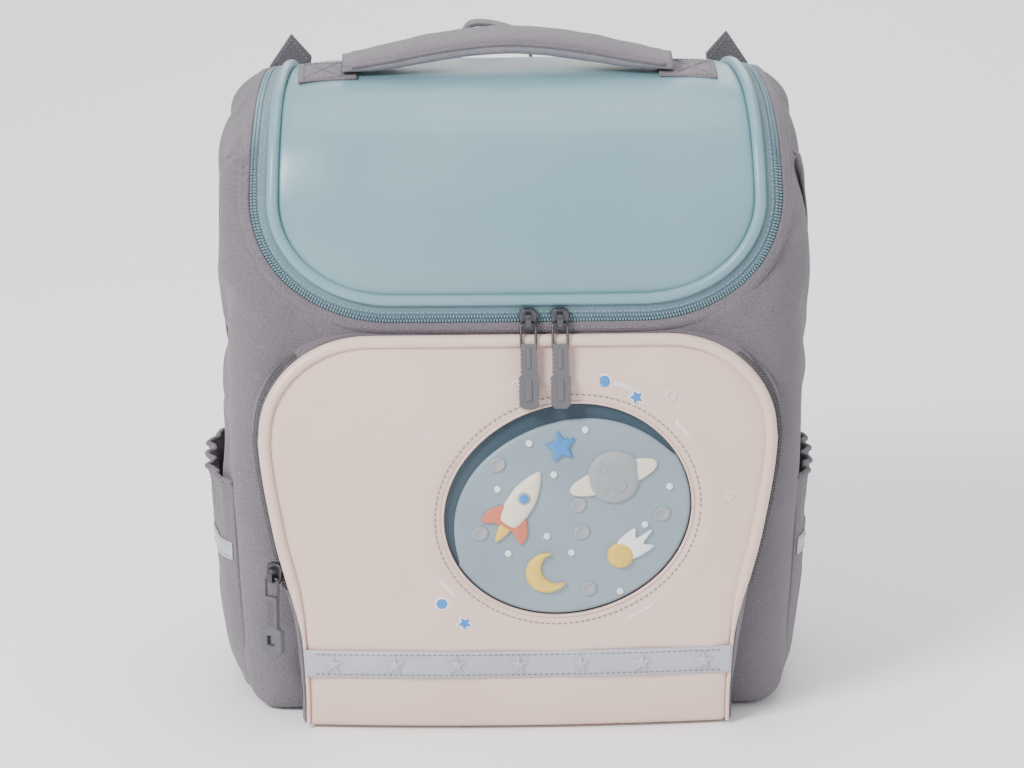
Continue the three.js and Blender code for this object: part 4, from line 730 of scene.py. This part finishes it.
# The pocket zip: dark tape with black brown coil teeth in two rows, sewn between the piping and
# the gusset along both sides, and ending in a plain hem with a row of stitches.
dark_twill = paint("dark_twill", (0.105, 0.10, 0.115), (0.06, 0.058, 0.068), 0.7, 1500, 0.0005, sheen=0.2,
                   weave=3800, worn=0.35)
dark_teeth = paint("dark_teeth", (0.10, 0.088, 0.092), (0.055, 0.05, 0.055), 0.4, 2000, 0.0001, coat=0.1)
zip_low_end, zip_high_end = 84, 222
for side, sign in (("left", -1), ("right", 1)):
    path = [p for p in pocket_path if p[0] * sign > 0 and zip_low_end < p[1] < zip_high_end]
    tape = [(1.0, 4.4), (-0.6, 5.0), (-2.6, 8.0), (-3.4, 11.4), (-1.8, 11.6), (1.8, 5.4)]
    sweep("pocket_zip_tape_" + side, path, tape, on_pocket, dark_twill,
          ["pocket_zip_" + side])
    for row, sunk in (("front", 6.3), ("back", 8.7)):
        found = frames_along(path, on_pocket, -1.3 if row == "front" else -2.7, sunk, 1.8,
                             0.9 if row == "back" else 0)
        teeth = [(middle, along, up, -aside) for middle, along, aside, up in found]
        blocks(f"pocket_teeth_{side}_{row}", teeth, (1.2, 2.3, 1.6), dark_teeth)
    found = frames_along(path, on_pocket, -2.9, 13.6, 3.4)
    blocks("pocket_zip_stitches_" + side, [(m, a, u, -s) for m, a, s, u in found], (2.4, 0.6, 1.6),
           grey_thread)

# The picture window: a moulded picture set in an oval hole of the panel. A slate blue back shows
# as a crescent round a pale plate, on which rubber shapes stand up, and a stitched row holds it.
slate_blue = paint("slate_blue", (0.03, 0.06, 0.085), (0.022, 0.045, 0.066), 0.38, 1800, 0.0001, coat=0.15,
                   worn=0.8)
pale_blue = paint("pale_blue", (0.255, 0.325, 0.375), (0.205, 0.27, 0.32), 0.42, 1500, 0.00015, coat=0.1,
                  mottle=22, worn=0.75)
brown_thread = paint("brown_thread", (0.27, 0.225, 0.22), (0.18, 0.15, 0.15), 0.6, 3000, 0.0002, sheen=0.2)
window_middle = np.array([window_x, window_z], float)


def raised(name, rim, centre, steps, finish, nodes=()):
    """A shape on the pocket front; a step is (share out from its centre, sunk), from back to middle."""
    centre = np.array(centre, float)
    points = [on_pocket(centre + (np.array(corner) - centre) * share, sunk) for share, sunk in steps
              for corner in rim]
    points.append(on_pocket(centre, steps[-1][1]))
    count = len(rim)
    last = (len(steps) - 1) * count
    faces = grid_faces(len(steps), count, closed=True)
    faces += [(last + j, last + (j + 1) % count, len(points) - 1) for j in range(count)]
    return make(name, points, faces, finish, nodes)


around = np.linspace(0, math.tau, 160, endpoint=False)
raised("window_floor", [window_rim(t, 2) for t in around], window_middle,
       [(1, 3.6), (0.8, 3.5), (0.5, 3.5), (0.2, 3.5)], slate_blue, ["window_back"])
plate = [(1, 3.5), (1.0, 2.2), (0.993, 1.7), (0.975, 1.35), (0.94, 1.3), (0.8, 1.2), (0.6, 1.1),
         (0.4, 1.1), (0.2, 1.1)]
raised("window_picture", [window_rim(t, -1.2, 9.5) for t in around], window_middle, plate,
       pale_blue, ["window_plate"])
rim_path = np.array([window_rim(t) for t in np.linspace(0, -math.tau, 160)])
blocks("window_stitches", frames_along(rim_path, on_pocket, -4.6, -0.35, 3.3), (2.3, 0.65, 0.7),
       brown_thread)
sweep("window_lip", rim_path, round_section(-0.3, 0.7, 0.9, 8), on_pocket, pink_skin)

# The raised shapes of the picture are cast in coloured rubber: planet, rocket, crescent, star,
# comet and small craters, with a few white dots between them.
grey_rubber = paint("grey_rubber", (0.33, 0.35, 0.37), (0.26, 0.28, 0.30), 0.5, 1800, 0.0002)
cream_rubber = paint("cream_rubber", (0.80, 0.745, 0.61), (0.70, 0.64, 0.50), 0.5, 1800, 0.0002)
yellow_rubber = paint("yellow_rubber", (0.78, 0.54, 0.085), (0.66, 0.43, 0.06), 0.45, 1800, 0.0002)
blue_rubber = paint("blue_rubber", (0.05, 0.25, 0.60), (0.035, 0.18, 0.48), 0.42, 1800, 0.0002)
white_rubber = paint("white_rubber", (0.86, 0.87, 0.88), (0.76, 0.78, 0.80), 0.4, 1800, 0.0001)
coral_rubber = paint("coral_rubber", (0.62, 0.17, 0.10), (0.50, 0.12, 0.075), 0.45, 1800, 0.0001)


def oval(x, z, wide, tall, tilt=0, count=48):
    """An oval rim round a point."""
    lean = math.radians(tilt)
    return [(x + wide * math.cos(t) * math.cos(lean) - tall * math.sin(t) * math.sin(lean),
             z + wide * math.cos(t) * math.sin(lean) + tall * math.sin(t) * math.cos(lean))
            for t in np.linspace(0, math.tau, count, endpoint=False)]


def star(x, z, radius, waist=0.5, tilt=0, points=5):
    """A star rim with its straight sides divided."""
    tips = []
    for k in range(2 * points):
        reach = radius * (1 if k % 2 == 0 else waist)
        turn = math.radians(90 + tilt + 180 / points * k)
        tips.append(np.array((x + reach * math.cos(turn), z + reach * math.sin(turn))))
    return [tuple(tip * (1 - s) + following * s)
            for tip, following in zip(tips, tips[1:] + tips[:1]) for s in (0, 0.25, 0.5, 0.75)]


def bent(points, x, z, turn):
    """A closed outline through a few points, rounded, turned and moved into place."""
    lean = math.radians(turn)
    count = len(points)
    ring = []
    for k in range(count):
        before, start, end, after = (np.array(points[(k + step) % count], float) for step in (-1, 0, 1, 2))
        for s in (0, 0.25, 0.5, 0.75):
            leave, arrive = (end - before) / 2 * 0.7, (after - start) / 2 * 0.7
            cubic, square = 2 * start - 2 * end + leave + arrive, 3 * end - 3 * start - 2 * leave - arrive
            px, pz = cubic * s ** 3 + square * s ** 2 + leave * s + start
            ring.append((x + (px * math.cos(lean) - pz * math.sin(lean)),
                         z + (px * math.sin(lean) + pz * math.cos(lean))))
    return ring


low = [(1, 1.6), (1, -0.1), (0.97, -0.45), (0.92, -0.6), (0.5, -0.75), (0.2, -0.8)]
high = [(1, 1.6), (1, 0.2), (0.96, -0.5), (0.88, -1.1), (0.72, -1.6), (0.5, -1.95), (0.25, -2.1)]
button = [(1, 1.6), (1, 0.6), (0.9, 0.15), (0.7, -0.05), (0.3, -0.1)]
planet = (54, 154)
raised("picture_planet", oval(*planet, 15, 15), planet, high, grey_rubber, ["motif_planet"])
raised("picture_planet_ring", oval(*planet, 26, 7.2, 18, 64), planet, low, cream_rubber)
upper_half = [(1, 1.6), (1, -0.2), (0.93, -1.1), (0.8, -1.75), (0.5, -2.15), (0.25, -2.25)]
raised("picture_planet_front", oval(55.2, 158.5, 13.2, 9.3, 18), (55.2, 158.5), upper_half,
       grey_rubber)
planet_dents = [(48, 160, 2.6), (58, 150, 3.4), (50, 148, 1.8), (60, 162, 1.7)]
for k, (x, z, size) in enumerate(planet_dents):
    dent = [(1, -0.6), (1, -1.9 - 0.1 * size), (0.8, -2.1 - 0.1 * size), (0.55, -1.9), (0.25, -1.8)]
    raised(f"picture_planet_dent_{k + 1}", oval(x, z, size, size, count=24), (x, z), dent, grey_rubber)
rocket, rocket_tilt = (1, 140), -32
rocket_hull = [(-5, -15), (5, -15), (7.5, -5), (7, 6), (4, 15), (0, 21), (-4, 15), (-7, 6), (-7.5, -5)]
rocket_fins = [(0, -8), (7, -6), (13.5, -14), (13, -21), (5, -17),
               (0, -19), (-5, -17), (-13, -21), (-13.5, -14), (-7, -6)]
fins_middle = (rocket[0] + 13 * math.sin(math.radians(rocket_tilt)),
               rocket[1] - 13 * math.cos(math.radians(rocket_tilt)))
raised("picture_rocket_fins", bent(rocket_fins, *rocket, rocket_tilt), fins_middle, low,
       coral_rubber)
raised("picture_rocket_hull", bent(rocket_hull, *rocket, rocket_tilt), rocket, high, cream_rubber,
       ["motif_rocket"])
raised("picture_rocket_port_rim", oval(2.9, 143.1, 3.9, 3.9), (2.9, 143.1),
       [(1, 0), (1, -1.9), (0.85, -2.3), (0.6, -2.4)], grey_rubber)
raised("picture_rocket_port", oval(2.9, 143.1, 2.7, 2.7), (2.9, 143.1),
       [(1, 0), (1, -2.3), (0.8, -2.6), (0.4, -2.7)], blue_rubber)
flame = [(-3.2, 0), (3.2, 0), (2.6, -5), (0, -11), (-2.6, -5)]
flame_root = (rocket[0] - 16 * 0.53, rocket[1] - 16 * 0.85)
flame_middle = (rocket[0] - 18 * 0.53, rocket[1] - 18 * 0.85)
raised("picture_flame", bent(flame, *flame_root, rocket_tilt), flame_middle, low,
       yellow_rubber)
outer_arc = [(16 + 12 * math.cos(math.radians(a)), 98 + 12 * math.sin(math.radians(a)))
             for a in np.linspace(78, 332, 40)]
inner_arc = [(22.5 + 9.7 * math.cos(math.radians(a)), 101 + 9.7 * math.sin(math.radians(a)))
             for a in np.linspace(118, 292, 40)]
crescent_points = []
crescent_section = [(0, 1.6), (0, 0.3), (0.06, -0.5), (0.2, -1.1), (0.4, -1.5),
                    (0.6, -1.5), (0.8, -1.1), (0.94, -0.5), (1, 0.3), (1, 1.6)]
for outer, inner in zip(outer_arc, inner_arc):
    for s, sunk in crescent_section:
        crescent_points.append(on_pocket(np.array(outer) * (1 - s) + np.array(inner) * s, sunk))
make("picture_crescent", crescent_points, grid_faces(40, 10), yellow_rubber,
     ["motif_crescent"])
raised("picture_star", star(24, 172, 9, 0.5, 12), (24, 172), low, blue_rubber,
       ["motif_star"])
comet = (58, 108)
comet_tail = [(-2, 7), (8, 16), (9, 10), (18, 15), (13, 7), (19, 5), (7, -2)]
raised("picture_comet_tail", bent(comet_tail, *comet, 0), (64, 113), low, white_rubber)
raised("picture_comet", oval(*comet, 7.5, 7.5), comet, high, yellow_rubber,
       ["motif_comet"])
dish = [(1, 1.6), (1, 0.5), (0.9, 0.1), (0.76, 0.0), (0.62, 0.5), (0.3, 0.8)]
craters_from_middle = [(6, 4), (-50, -12), (8, -12), (54, -2), (-40, 28), (12, -46)]
for k, (x, z) in enumerate(craters_from_middle):
    crater = (window_x + x, window_z + z)
    raised(f"picture_crater_{k + 1}", oval(*crater, 4.8, 4.0, 30), crater, dish,
           grey_rubber, [f"motif_crater_{k + 1}"])
dots_from_middle = [(-8, 22), (-34, -24), (10, 47), (44, -8), (-40, 14),
                    (30, -48), (-22, 40), (58, 14), (2, -24), (-12, -14)]
for k, (x, z) in enumerate(dots_from_middle):
    dot = (window_x + x, window_z + z)
    raised(f"picture_dot_{k + 1}", oval(*dot, 1.9, 1.9, count=20), dot, button, white_rubber)

# Small raised prints round the window on the pink cloth: two blue dots and two blue stars with
# white rims, and glossy white rings, dots and pills.
gloss_white = paint("gloss_white", (0.80, 0.77, 0.76), (0.74, 0.70, 0.69), 0.2, 1500, 0.00005, coat=0.5)
film = [(1, 0.6), (1, -0.45), (0.9, -0.6), (0.5, -0.62)]
blue_film = [(1, 0), (1, -0.75), (0.8, -0.9), (0.4, -0.9)]
blue_prints = [(49, 208, 4.2, "dot"), (-44, 80, 4.2, "dot"), (67, 199, 5.6, "star"), (-31, 68, 5.6, "star")]
for k, (x, z, size, shape) in enumerate(blue_prints):
    rim = oval(x, z, size, size) if shape == "dot" else star(x, z, size, 0.52, 10 * k)
    raised(f"print_rim_{k + 1}", rim, (x, z), film, white_rubber)
    rim = oval(x, z, size - 1.1, size - 1.1) if shape == "dot" else star(x, z, size - 1.6, 0.52, 10 * k)
    raised(f"print_{k + 1}", rim, (x, z), blue_film, blue_rubber)
pills = [(128, 147, 12), (160, 171, 10), (62, 70, 13), (18, 40, 11),
         (-8, 2, 12), (-62, -48, 11), (-95, -84, 13), (196, 222, 12)]
pill_section = [(-1.3, 0.5), (-1.3, -0.4), (-0.6, -0.7), (0.6, -0.7), (1.3, -0.4), (1.3, 0.5)]
for k, (start, end, outside) in enumerate(pills):
    arc = [window_rim(math.radians(a), outside) for a in np.linspace(end, start, 16)]
    sweep(f"print_pill_{k + 1}", arc, pill_section, on_pocket, gloss_white)
small_rings = [(112, 16, 2.2), (150, 24, 2.0), (48, 20, 2.6), (-24, 14, 2.4),
               (-75, 19, 2.2), (232, 18, 2.0), (5, 21, 1.8)]
ring_section = [(-0.5, 0.5), (-0.5, -0.5), (0.5, -0.5), (0.5, 0.5)]
for k, (angle, outside, size) in enumerate(small_rings):
    x, z = window_rim(math.radians(angle), outside)
    ring = [(x + size * math.cos(t), z + size * math.sin(t)) for t in np.linspace(0, math.tau, 25)]
    sweep(f"print_ring_{k + 1}", ring, ring_section, on_pocket, gloss_white)

# The reflective strip across the foot of the pocket: silver film on cloth, sewn along both edges,
# with a row of seven raised stars pressed out of it.
silver_tape = paint("silver_tape", (0.54, 0.55, 0.62), (0.43, 0.44, 0.51), 0.32, 2600, 0.00025, metal=0.35,
                    coat=0.2, weave=6200, worn=0.6)
strip_floor, strip_height, strip_star_count, strip_star_pitch = 34, 17, 7, 35.5
strip_middle = strip_floor + strip_height / 2
strip_points = []
strip_rows, strip_columns, stitch_margin = 9, 120, 2.3
for z in np.linspace(strip_floor, strip_floor + strip_height, strip_rows):
    reach = pocket_half_width * read(pocket_table, (z - pocket_floor) / pocket_height)[1] - 2.5
    for x in np.linspace(-reach, reach, strip_columns):
        lift = noise.noise(Vector((x * 0.035, z * 0.05, 7))) * 0.5
        lift += noise.noise(Vector((x * 0.15, z * 0.1, 1))) * 0.15
        crown = 0.5 * (1 - ((z - strip_middle) / (strip_height / 2)) ** 2)
        strip_points.append(on_pocket((x, z), -1.0 - lift - crown))
make("reflective_strip_film", strip_points, grid_faces(strip_rows, strip_columns), silver_tape,
     ["reflective_strip"], thickness=0.0007)
for z in (strip_floor + stitch_margin, strip_floor + strip_height - stitch_margin):
    row = np.array([(x, z) for x in np.linspace(-117, 117, 118)])
    blocks(f"strip_stitches_{round(z)}", frames_along(row, on_pocket, 0, -1.55, 3.2), (2.2, 0.55, 0.6),
           grey_thread)
pressed_star = [(1.25, -1.2), (1.12, -1.75), (1.02, -1.55), (0.97, -2.3), (0.8, -2.7), (0.3, -3.1)]
for k in range(strip_star_count):
    x = (k - strip_star_count // 2) * strip_star_pitch
    raised(f"strip_star_{k + 1}", star(x, strip_middle, 5.4, 0.45), (x, strip_middle), pressed_star,
           silver_tape)

# The handle: a padded grip over foam, grey twill above and spacer mesh below, with a corded seam
# between, arched over the lid. Its flat twill ends are sewn down under box and cross stitches.
spacer_mesh = paint("spacer_mesh", (0.27, 0.25, 0.285), (0.19, 0.175, 0.205), 0.85, 1500, 0.0012, sheen=0.2,
                    holes=300, worn=0.3)
handle_table = [(0, .84, .5), (.05, .95, .85), (.42, 1, 1), (.82, 1, 1), (1, 1, 1), (.82, 1, 1),
                (.42, 1, 1), (.05, .95, .85), (0, .84, .5)]
over_top = profile[:, 1] > body_height / 2


def on_top(x, y, sunk=0.0):
    """A place on top of the body at x and y in millimetres."""
    return skin(x, np.interp(y, profile[over_top, 0], profile[over_top, 6]), sunk)


handle_x, handle_y, handle_length, handle_half_width, handle_thickness = -3, 10, 190, 18, 12
handle_clearance, handle_rise = 2.5, 8
handle_steps, handle_sides, twill_first, twill_last = 73, 32, 1, 15
handle_rings = []
for i in range(handle_steps):
    share = i / (handle_steps - 1)
    rise, width, thick = bend(handle_table, share * 8)
    x = handle_x + handle_length * (share - 0.5)
    places_under = (handle_y - handle_half_width, handle_y, handle_y + handle_half_width)
    under = max(on_top(x, y)[2] * 1000 for y in places_under) + handle_clearance + rise * handle_rise
    ring = []
    for k in range(handle_sides):
        turn = math.tau * k / handle_sides
        across = math.copysign(abs(math.cos(turn)) ** 0.62, math.cos(turn))
        up = 0.5 + 0.5 * math.copysign(abs(math.sin(turn)) ** 0.75, math.sin(turn))
        crease = noise.noise(Vector((x * 0.09, across * 1.5, up * 2))) * 0.5
        ring.append(np.array([x, handle_y + across * (handle_half_width * width + crease),
                              under + up * handle_thickness * thick + crease * (up - 0.3)]) / 1000)
    handle_rings.append(ring)
handle_parts = (("handle_twill", twill_first, twill_last, grey_twill, "grey_twill", ["handle"]),
                ("handle_mesh", twill_last, twill_first + handle_sides, spacer_mesh, "spacer_mesh", []))
for name, first, last, cloth, slot_name, nodes in handle_parts:
    points = [ring[k % handle_sides] for ring in handle_rings for k in range(first, last + 1)]
    count = last - first + 1
    faces = grid_faces(handle_steps, count)
    faces += [tuple(range(count)), tuple(range((handle_steps - 1) * count, handle_steps * count))]
    make(name, points, faces, cloth, nodes)
for name, k, way in (("back", twill_first, 1), ("front", twill_last, -1)):
    route = [ring[k] + np.array([0, 0.0002 * way, 0]) for ring in handle_rings[2:-2]]
    tube("handle_seam_" + name, route, 0.0011, grey_twill, sides=8)
    threads = []
    for i in range(3, handle_steps - 4):
        along = handle_rings[i + 1][k] - handle_rings[i - 1][k]
        along /= np.linalg.norm(along)
        out = np.array([0, 1.0 * way, 0])
        threads.append((handle_rings[i][k + way] + out * 0.0001, along, np.cross(out, along), out))
    blocks("handle_stitches_" + name, threads, (1.9, 0.55, 0.6), grey_thread)
band_start, band_end, band_half_width, band_seam, band_grid = 88, 122, 17.5, 3, 20
for side, name in ((-1, "left"), (1, "right")):
    start, end = handle_x + side * band_start, handle_x + side * band_end
    band_points = []
    for y in np.linspace(handle_y - band_half_width, handle_y + band_half_width, band_grid):
        for x in np.linspace(start, end, band_grid):
            wave = 0.3 * noise.noise(Vector((x * 0.1, y * 0.1, 0)))
            band_points.append(on_top(x, y, -2.4 - wave))
    make("handle_band_" + name + "_cloth", band_points, grid_faces(band_grid, band_grid), grey_twill,
         ["handle_band_" + name], thickness=0.0015)
    near, far = start + side * 9, end - side * band_seam
    low_y, high_y = handle_y - band_half_width + band_seam, handle_y + band_half_width - band_seam
    box_and_cross = [((near, low_y), (far, low_y)), ((far, low_y), (far, high_y)),
                     ((far, high_y), (near, high_y)), ((near, high_y), (near, low_y)),
                     ((near, low_y), (far, high_y)), ((near, high_y), (far, low_y))]
    threads = []
    for line in box_and_cross:
        threads += frames_along(np.array(line), lambda flat, sunk: on_top(*flat, sunk), 0, -2.65, 2.9)
    blocks("handle_band_stitches_" + name, threads, (2.0, 0.6, 0.7), grey_thread)

# Dark polyester webbing sewn into the back seam: a hanging loop that is bent up behind the
# handle, and a folded tab with a row of stitches at each top corner.
webbing = paint("webbing", (0.115, 0.108, 0.122), (0.07, 0.066, 0.077), 0.75, 1600, 0.0005, sheen=0.3,
                weave=2600, worn=0.3)
loop_plan = [(-23, 322), (-23, 344), (-20, 367), (-11, 374.4), (11, 370), (20, 359.6), (23, 344), (23, 322)]
loop_route = [bend(loop_plan, i / 8) for i in range(8 * (len(loop_plan) - 1) + 1)]
loop_x, loop_back, loop_width = -8, 75.6, 11.6
loop_points = [np.array([x + loop_x, loop_back + y, z]) / 1000
               for x, z in loop_route for y in np.linspace(0, loop_width, 5)]
make("hang_loop_webbing", loop_points, grid_faces(len(loop_route), 5), webbing, ["hang_loop"],
     thickness=0.0018)


def behind_back(flat, sunk):
    """A place on the back of a corner tab, x and z in millimetres."""
    return np.array([flat[0], 75.4 + sunk, flat[1]]) / 1000


tab_plan = [(119.6, 326), (136.4, 326), (141.2, 349.2), (128, 369), (116, 355.2)]
tab_seam = [(118.4, 353), (128, 365.5), (138.8, 349), (134.6, 332)]
upright = Matrix.Translation((0, 0.0768, 0)) @ Matrix.Rotation(math.pi / 2, 4, "X")
for side, name in ((-1, "left"), (1, "right")):
    rim = [(side * x, z) for x, z in tab_plan]
    moulded("corner_tab_webbing_" + name, rim, 2.6, upright, webbing, ["corner_tab_" + name],
            soften=0.0009)
    edge = np.array([(side * x, z) for x, z in tab_seam])
    blocks("corner_tab_stitches_" + name, frames_along(edge, behind_back, 0, 0, 2.8), (1.9, 0.55, 0.7),
           grey_thread)

# The side pockets: grey twill gathered by elastic at the mouth, with a silver tape sewn across.
# A row is the height share, the stand-off share, the reach share and the gathers.
side_table = [(0, .35, .88, 0), (.1, .8, .96, 0), (.28, .95, 1, 0), (.55, 1, 1, 0), (.78, .95, 1, .25),
              (.88, .86, .98, 1), (.94, .9, .97, 1), (1, 1.08, .97, 1.3)]
side_floor, side_height, side_middle_y, side_reach = 7, 130, -4, 52
ruffle_depth, ruffle_count = 1.7, 5
tape_floor, tape_height = 88, 11
side_unit = 50


def on_side(side, share, z, sunk=0.0):
    """A place on a side pocket, share from its front to its back and z in millimetres."""
    height, bulge, reach, ruffle = read(side_table, (z - side_floor) / side_height)
    full = 1 - abs(share) ** 3
    gather = 0.45 * math.sin(share * 41 + side) * max(0, height - 0.66) / 0.34
    crumple = noise.noise(Vector((share * 2.6, z * 0.02, 4 + side))) * 2.2
    crumple += noise.noise(Vector((share * 7 + z * 0.03, z * 0.04, 8 - side))) * 0.9
    ruffles = ruffle_depth * ruffle * full * math.cos(math.pi * ruffle_count * share)
    wave = ruffles + gather + crumple * full * (1 - 0.7 * max(0, height - 0.5))
    wide = body_width / 2 * read(width_table, z / body_height)[1]
    fullness = 10 if side < 0 else 5
    x = wide + 2.3 - 3.6 * abs(share) ** 9 + fullness * bulge * full + wave - sunk
    return np.array([side * x, side_middle_y + side_reach * reach * share, z]) / 1000


for side, name in ((-1, "left"), (1, "right")):
    heights = np.linspace(side_floor, side_floor + side_height, 56)
    shares = np.linspace(-1, 1, 72)
    points = [on_side(side, s, z) for z in heights for s in shares]
    pocket = make("side_pocket_cloth_" + name, points, grid_faces(len(heights), len(shares)),
                  grey_twill, ["side_pocket_" + name], thickness=0.0017)
    tube("side_pocket_elastic_" + name, [on_side(side, s, 136, 0.4) for s in shares], 0.0016, grey_twill,
         sides=8)

    def beside(flat, sunk, side=side):
        """A place on the side pocket, side_unit along to each end of its width and z in millimetres."""
        return on_side(side, flat[0] / side_unit, flat[1], sunk)

    for z in (121, 129):
        row = np.array([(s * side_unit, z) for s in np.linspace(-0.95, 0.95, 40)])
        blocks(f"side_pocket_stitches_{name}_{z}", frames_along(row, beside, 0, -0.05, 3.0),
               (2.0, 0.55, 0.6), grey_thread)
    heights = np.linspace(tape_floor, tape_floor + tape_height, 6)
    shares = np.linspace(-0.96, 0.96, 60)
    points = [on_side(side, s, z, -1.0) for z in heights for s in shares]
    make("side_tape_film_" + name, points, grid_faces(len(heights), len(shares)), silver_tape,
         ["side_tape_" + name], thickness=0.0006)
    for z in (tape_floor + 2, tape_floor + tape_height - 2):
        row = np.array([(s * side_unit, z) for s in np.linspace(-0.93, 0.93, 40)])
        blocks(f"side_tape_stitches_{name}_{z}", frames_along(row, beside, 0, -1.05, 3.0), (2.0, 0.5, 0.6),
               grey_thread)

# The back pad: thick foam under spacer mesh, sewn flat to the back of the body and bound round
# its edge. Two upright channels are pressed into it, which let air pass.
pad_columns = [(-1, .15), (-.93, .7), (-.75, 1), (-.45, 1), (-.33, .45), (-.21, 1), (0, 1), (.21, 1),
               (.33, .45), (.45, 1), (.75, 1), (.93, .7), (1, .15)]
pad_rows = [(0, .9, .2), (.05, .97, .8), (.2, 1, 1), (.5, 1, 1), (.8, .97, 1), (.95, .92, .8), (1, .84, .2)]
back_face = 75.3
pad_half_width, pad_floor, pad_height, pad_thickness, pad_steps = 118, 40, 262, 9, 90
pad_points = []
for z_share in np.linspace(0, 1, pad_steps):
    tall, width, full = read(pad_rows, z_share)
    for share in np.linspace(-1, 1, pad_steps):
        rise = pad_thickness * read(pad_columns, share)[1] * full
        rise += noise.noise(Vector((share * 4, z_share * 5, 1))) * 0.7
        pad_points.append(np.array([pad_half_width * width * share, back_face + max(rise, 0.8),
                                    pad_floor + pad_height * z_share]) / 1000)
back_pad = make("back_pad_mesh", pad_points, grid_faces(pad_steps, pad_steps), spacer_mesh,
                ["back_pad"], thickness=0.0008)
pad_edge = pad_points[:pad_steps] + pad_points[2 * pad_steps - 1::pad_steps]
pad_edge += pad_points[-2:-pad_steps - 1:-1] + pad_points[-2 * pad_steps:0:-pad_steps]
tube("back_pad_binding", pad_edge, 0.0019, grey_twill, closed=True, sides=8)

# The shoulder straps: padded grey twill with a bound edge, curved from the top of the back, and
# dark webbing from their feet to the bottom corners.
strap_table = [(0, 0, 0, .8, .5), (-.15, .06, .33, .95, .9), (-.25, .22, .75, 1, 1), (-.1, .45, 1, 1, 1),
               (.3, .68, .85, .96, 1), (.72, .87, .45, .85, 1), (1, 1, .28, .6, .8)]
strap_top_x, strap_top_z, strap_out, strap_down, strap_bow = 50, 322, 34, 204, 35
strap_half_width, strap_thickness, strap_steps, strap_sides = 29, 11, 81, 28
webbing_half_width = 0.012
for side, name in ((-1, "left"), (1, "right")):
    rings = []
    for i in range(strap_steps):
        across, down, bow, width, thick = bend(strap_table, i / (strap_steps - 1) * 6)
        x, z = strap_top_x + strap_out * across, strap_top_z - strap_down * down
        front = back_face + bow * strap_bow
        ring = []
        for k in range(strap_sides):
            turn = math.tau * k / strap_sides
            out = math.copysign(abs(math.cos(turn)) ** 0.45, math.cos(turn))
            up = 0.5 + 0.5 * math.copysign(abs(math.sin(turn)) ** 0.8, math.sin(turn))
            crease = noise.noise(Vector((out * 2, z * 0.03, up * 2 + side))) * 0.8
            lift = up * strap_thickness * thick + crease * (1 if up > 0.5 else 0)
            ring.append(np.array([side * (x + out * strap_half_width * width), front + lift, z]) / 1000)
        rings.append(ring)
    points = [p for ring in rings for p in ring]
    faces = grid_faces(strap_steps, strap_sides, closed=True)
    faces += [tuple(range(strap_sides)), tuple(range((strap_steps - 1) * strap_sides, len(points)))]
    strap = make("shoulder_strap_cloth_" + name, points, faces, grey_twill,
                 ["shoulder_strap_" + name])
    for edge_name, k, inward in (("inner", strap_sides // 2, -3), ("outer", 0, 3)):
        tube(f"shoulder_strap_binding_{edge_name}_{name}", [ring[k] for ring in rings[1:-1]], 0.0013,
             dark_twill, sides=8)
        threads = []
        for i in range(2, strap_steps - 2):
            along = rings[i + 1][k] - rings[i - 1][k]
            along /= np.linalg.norm(along)
            out = np.array([0, 1.0, 0])
            threads.append((rings[i][k + inward] + out * 0.0001, along, np.cross(out, along), out))
        blocks(f"shoulder_strap_stitches_{edge_name}_{name}", threads, (1.9, 0.55, 0.7), grey_thread)
    across, down, bow, width, thick = bend(strap_table, 0.94 * 6)
    start = np.array([side * (strap_top_x + strap_out * across),
                      back_face + bow * strap_bow + strap_thickness * thick + 2.6,
                      strap_top_z - strap_down * down])
    leave = np.array([side * (strap_top_x + strap_out), back_face + 0.28 * strap_bow + 8.8 + 2.7, 117])
    end = np.array([side * 128, back_face + 1.8, 26])
    late = leave + (end - leave) * 0.85
    late[1] = back_face + 6
    fixed = [start, leave, (leave + end) / 2, late, end]
    route = [bend(fixed, i / 8) / 1000 for i in range(8 * (len(fixed) - 1) + 1)]
    band = []
    for i, spot in enumerate(route):
        along = route[min(i + 1, len(route) - 1)] - route[max(i - 1, 0)]
        aside = np.cross(along / np.linalg.norm(along), (0, 1, 0))
        aside /= np.linalg.norm(aside)
        band += [spot + aside * webbing_half_width * s for s in np.linspace(-1, 1, 7)]
    make("strap_webbing_band_" + name, band, grid_faces(len(route), 7), webbing,
         ["strap_webbing_" + name], thickness=0.0018)
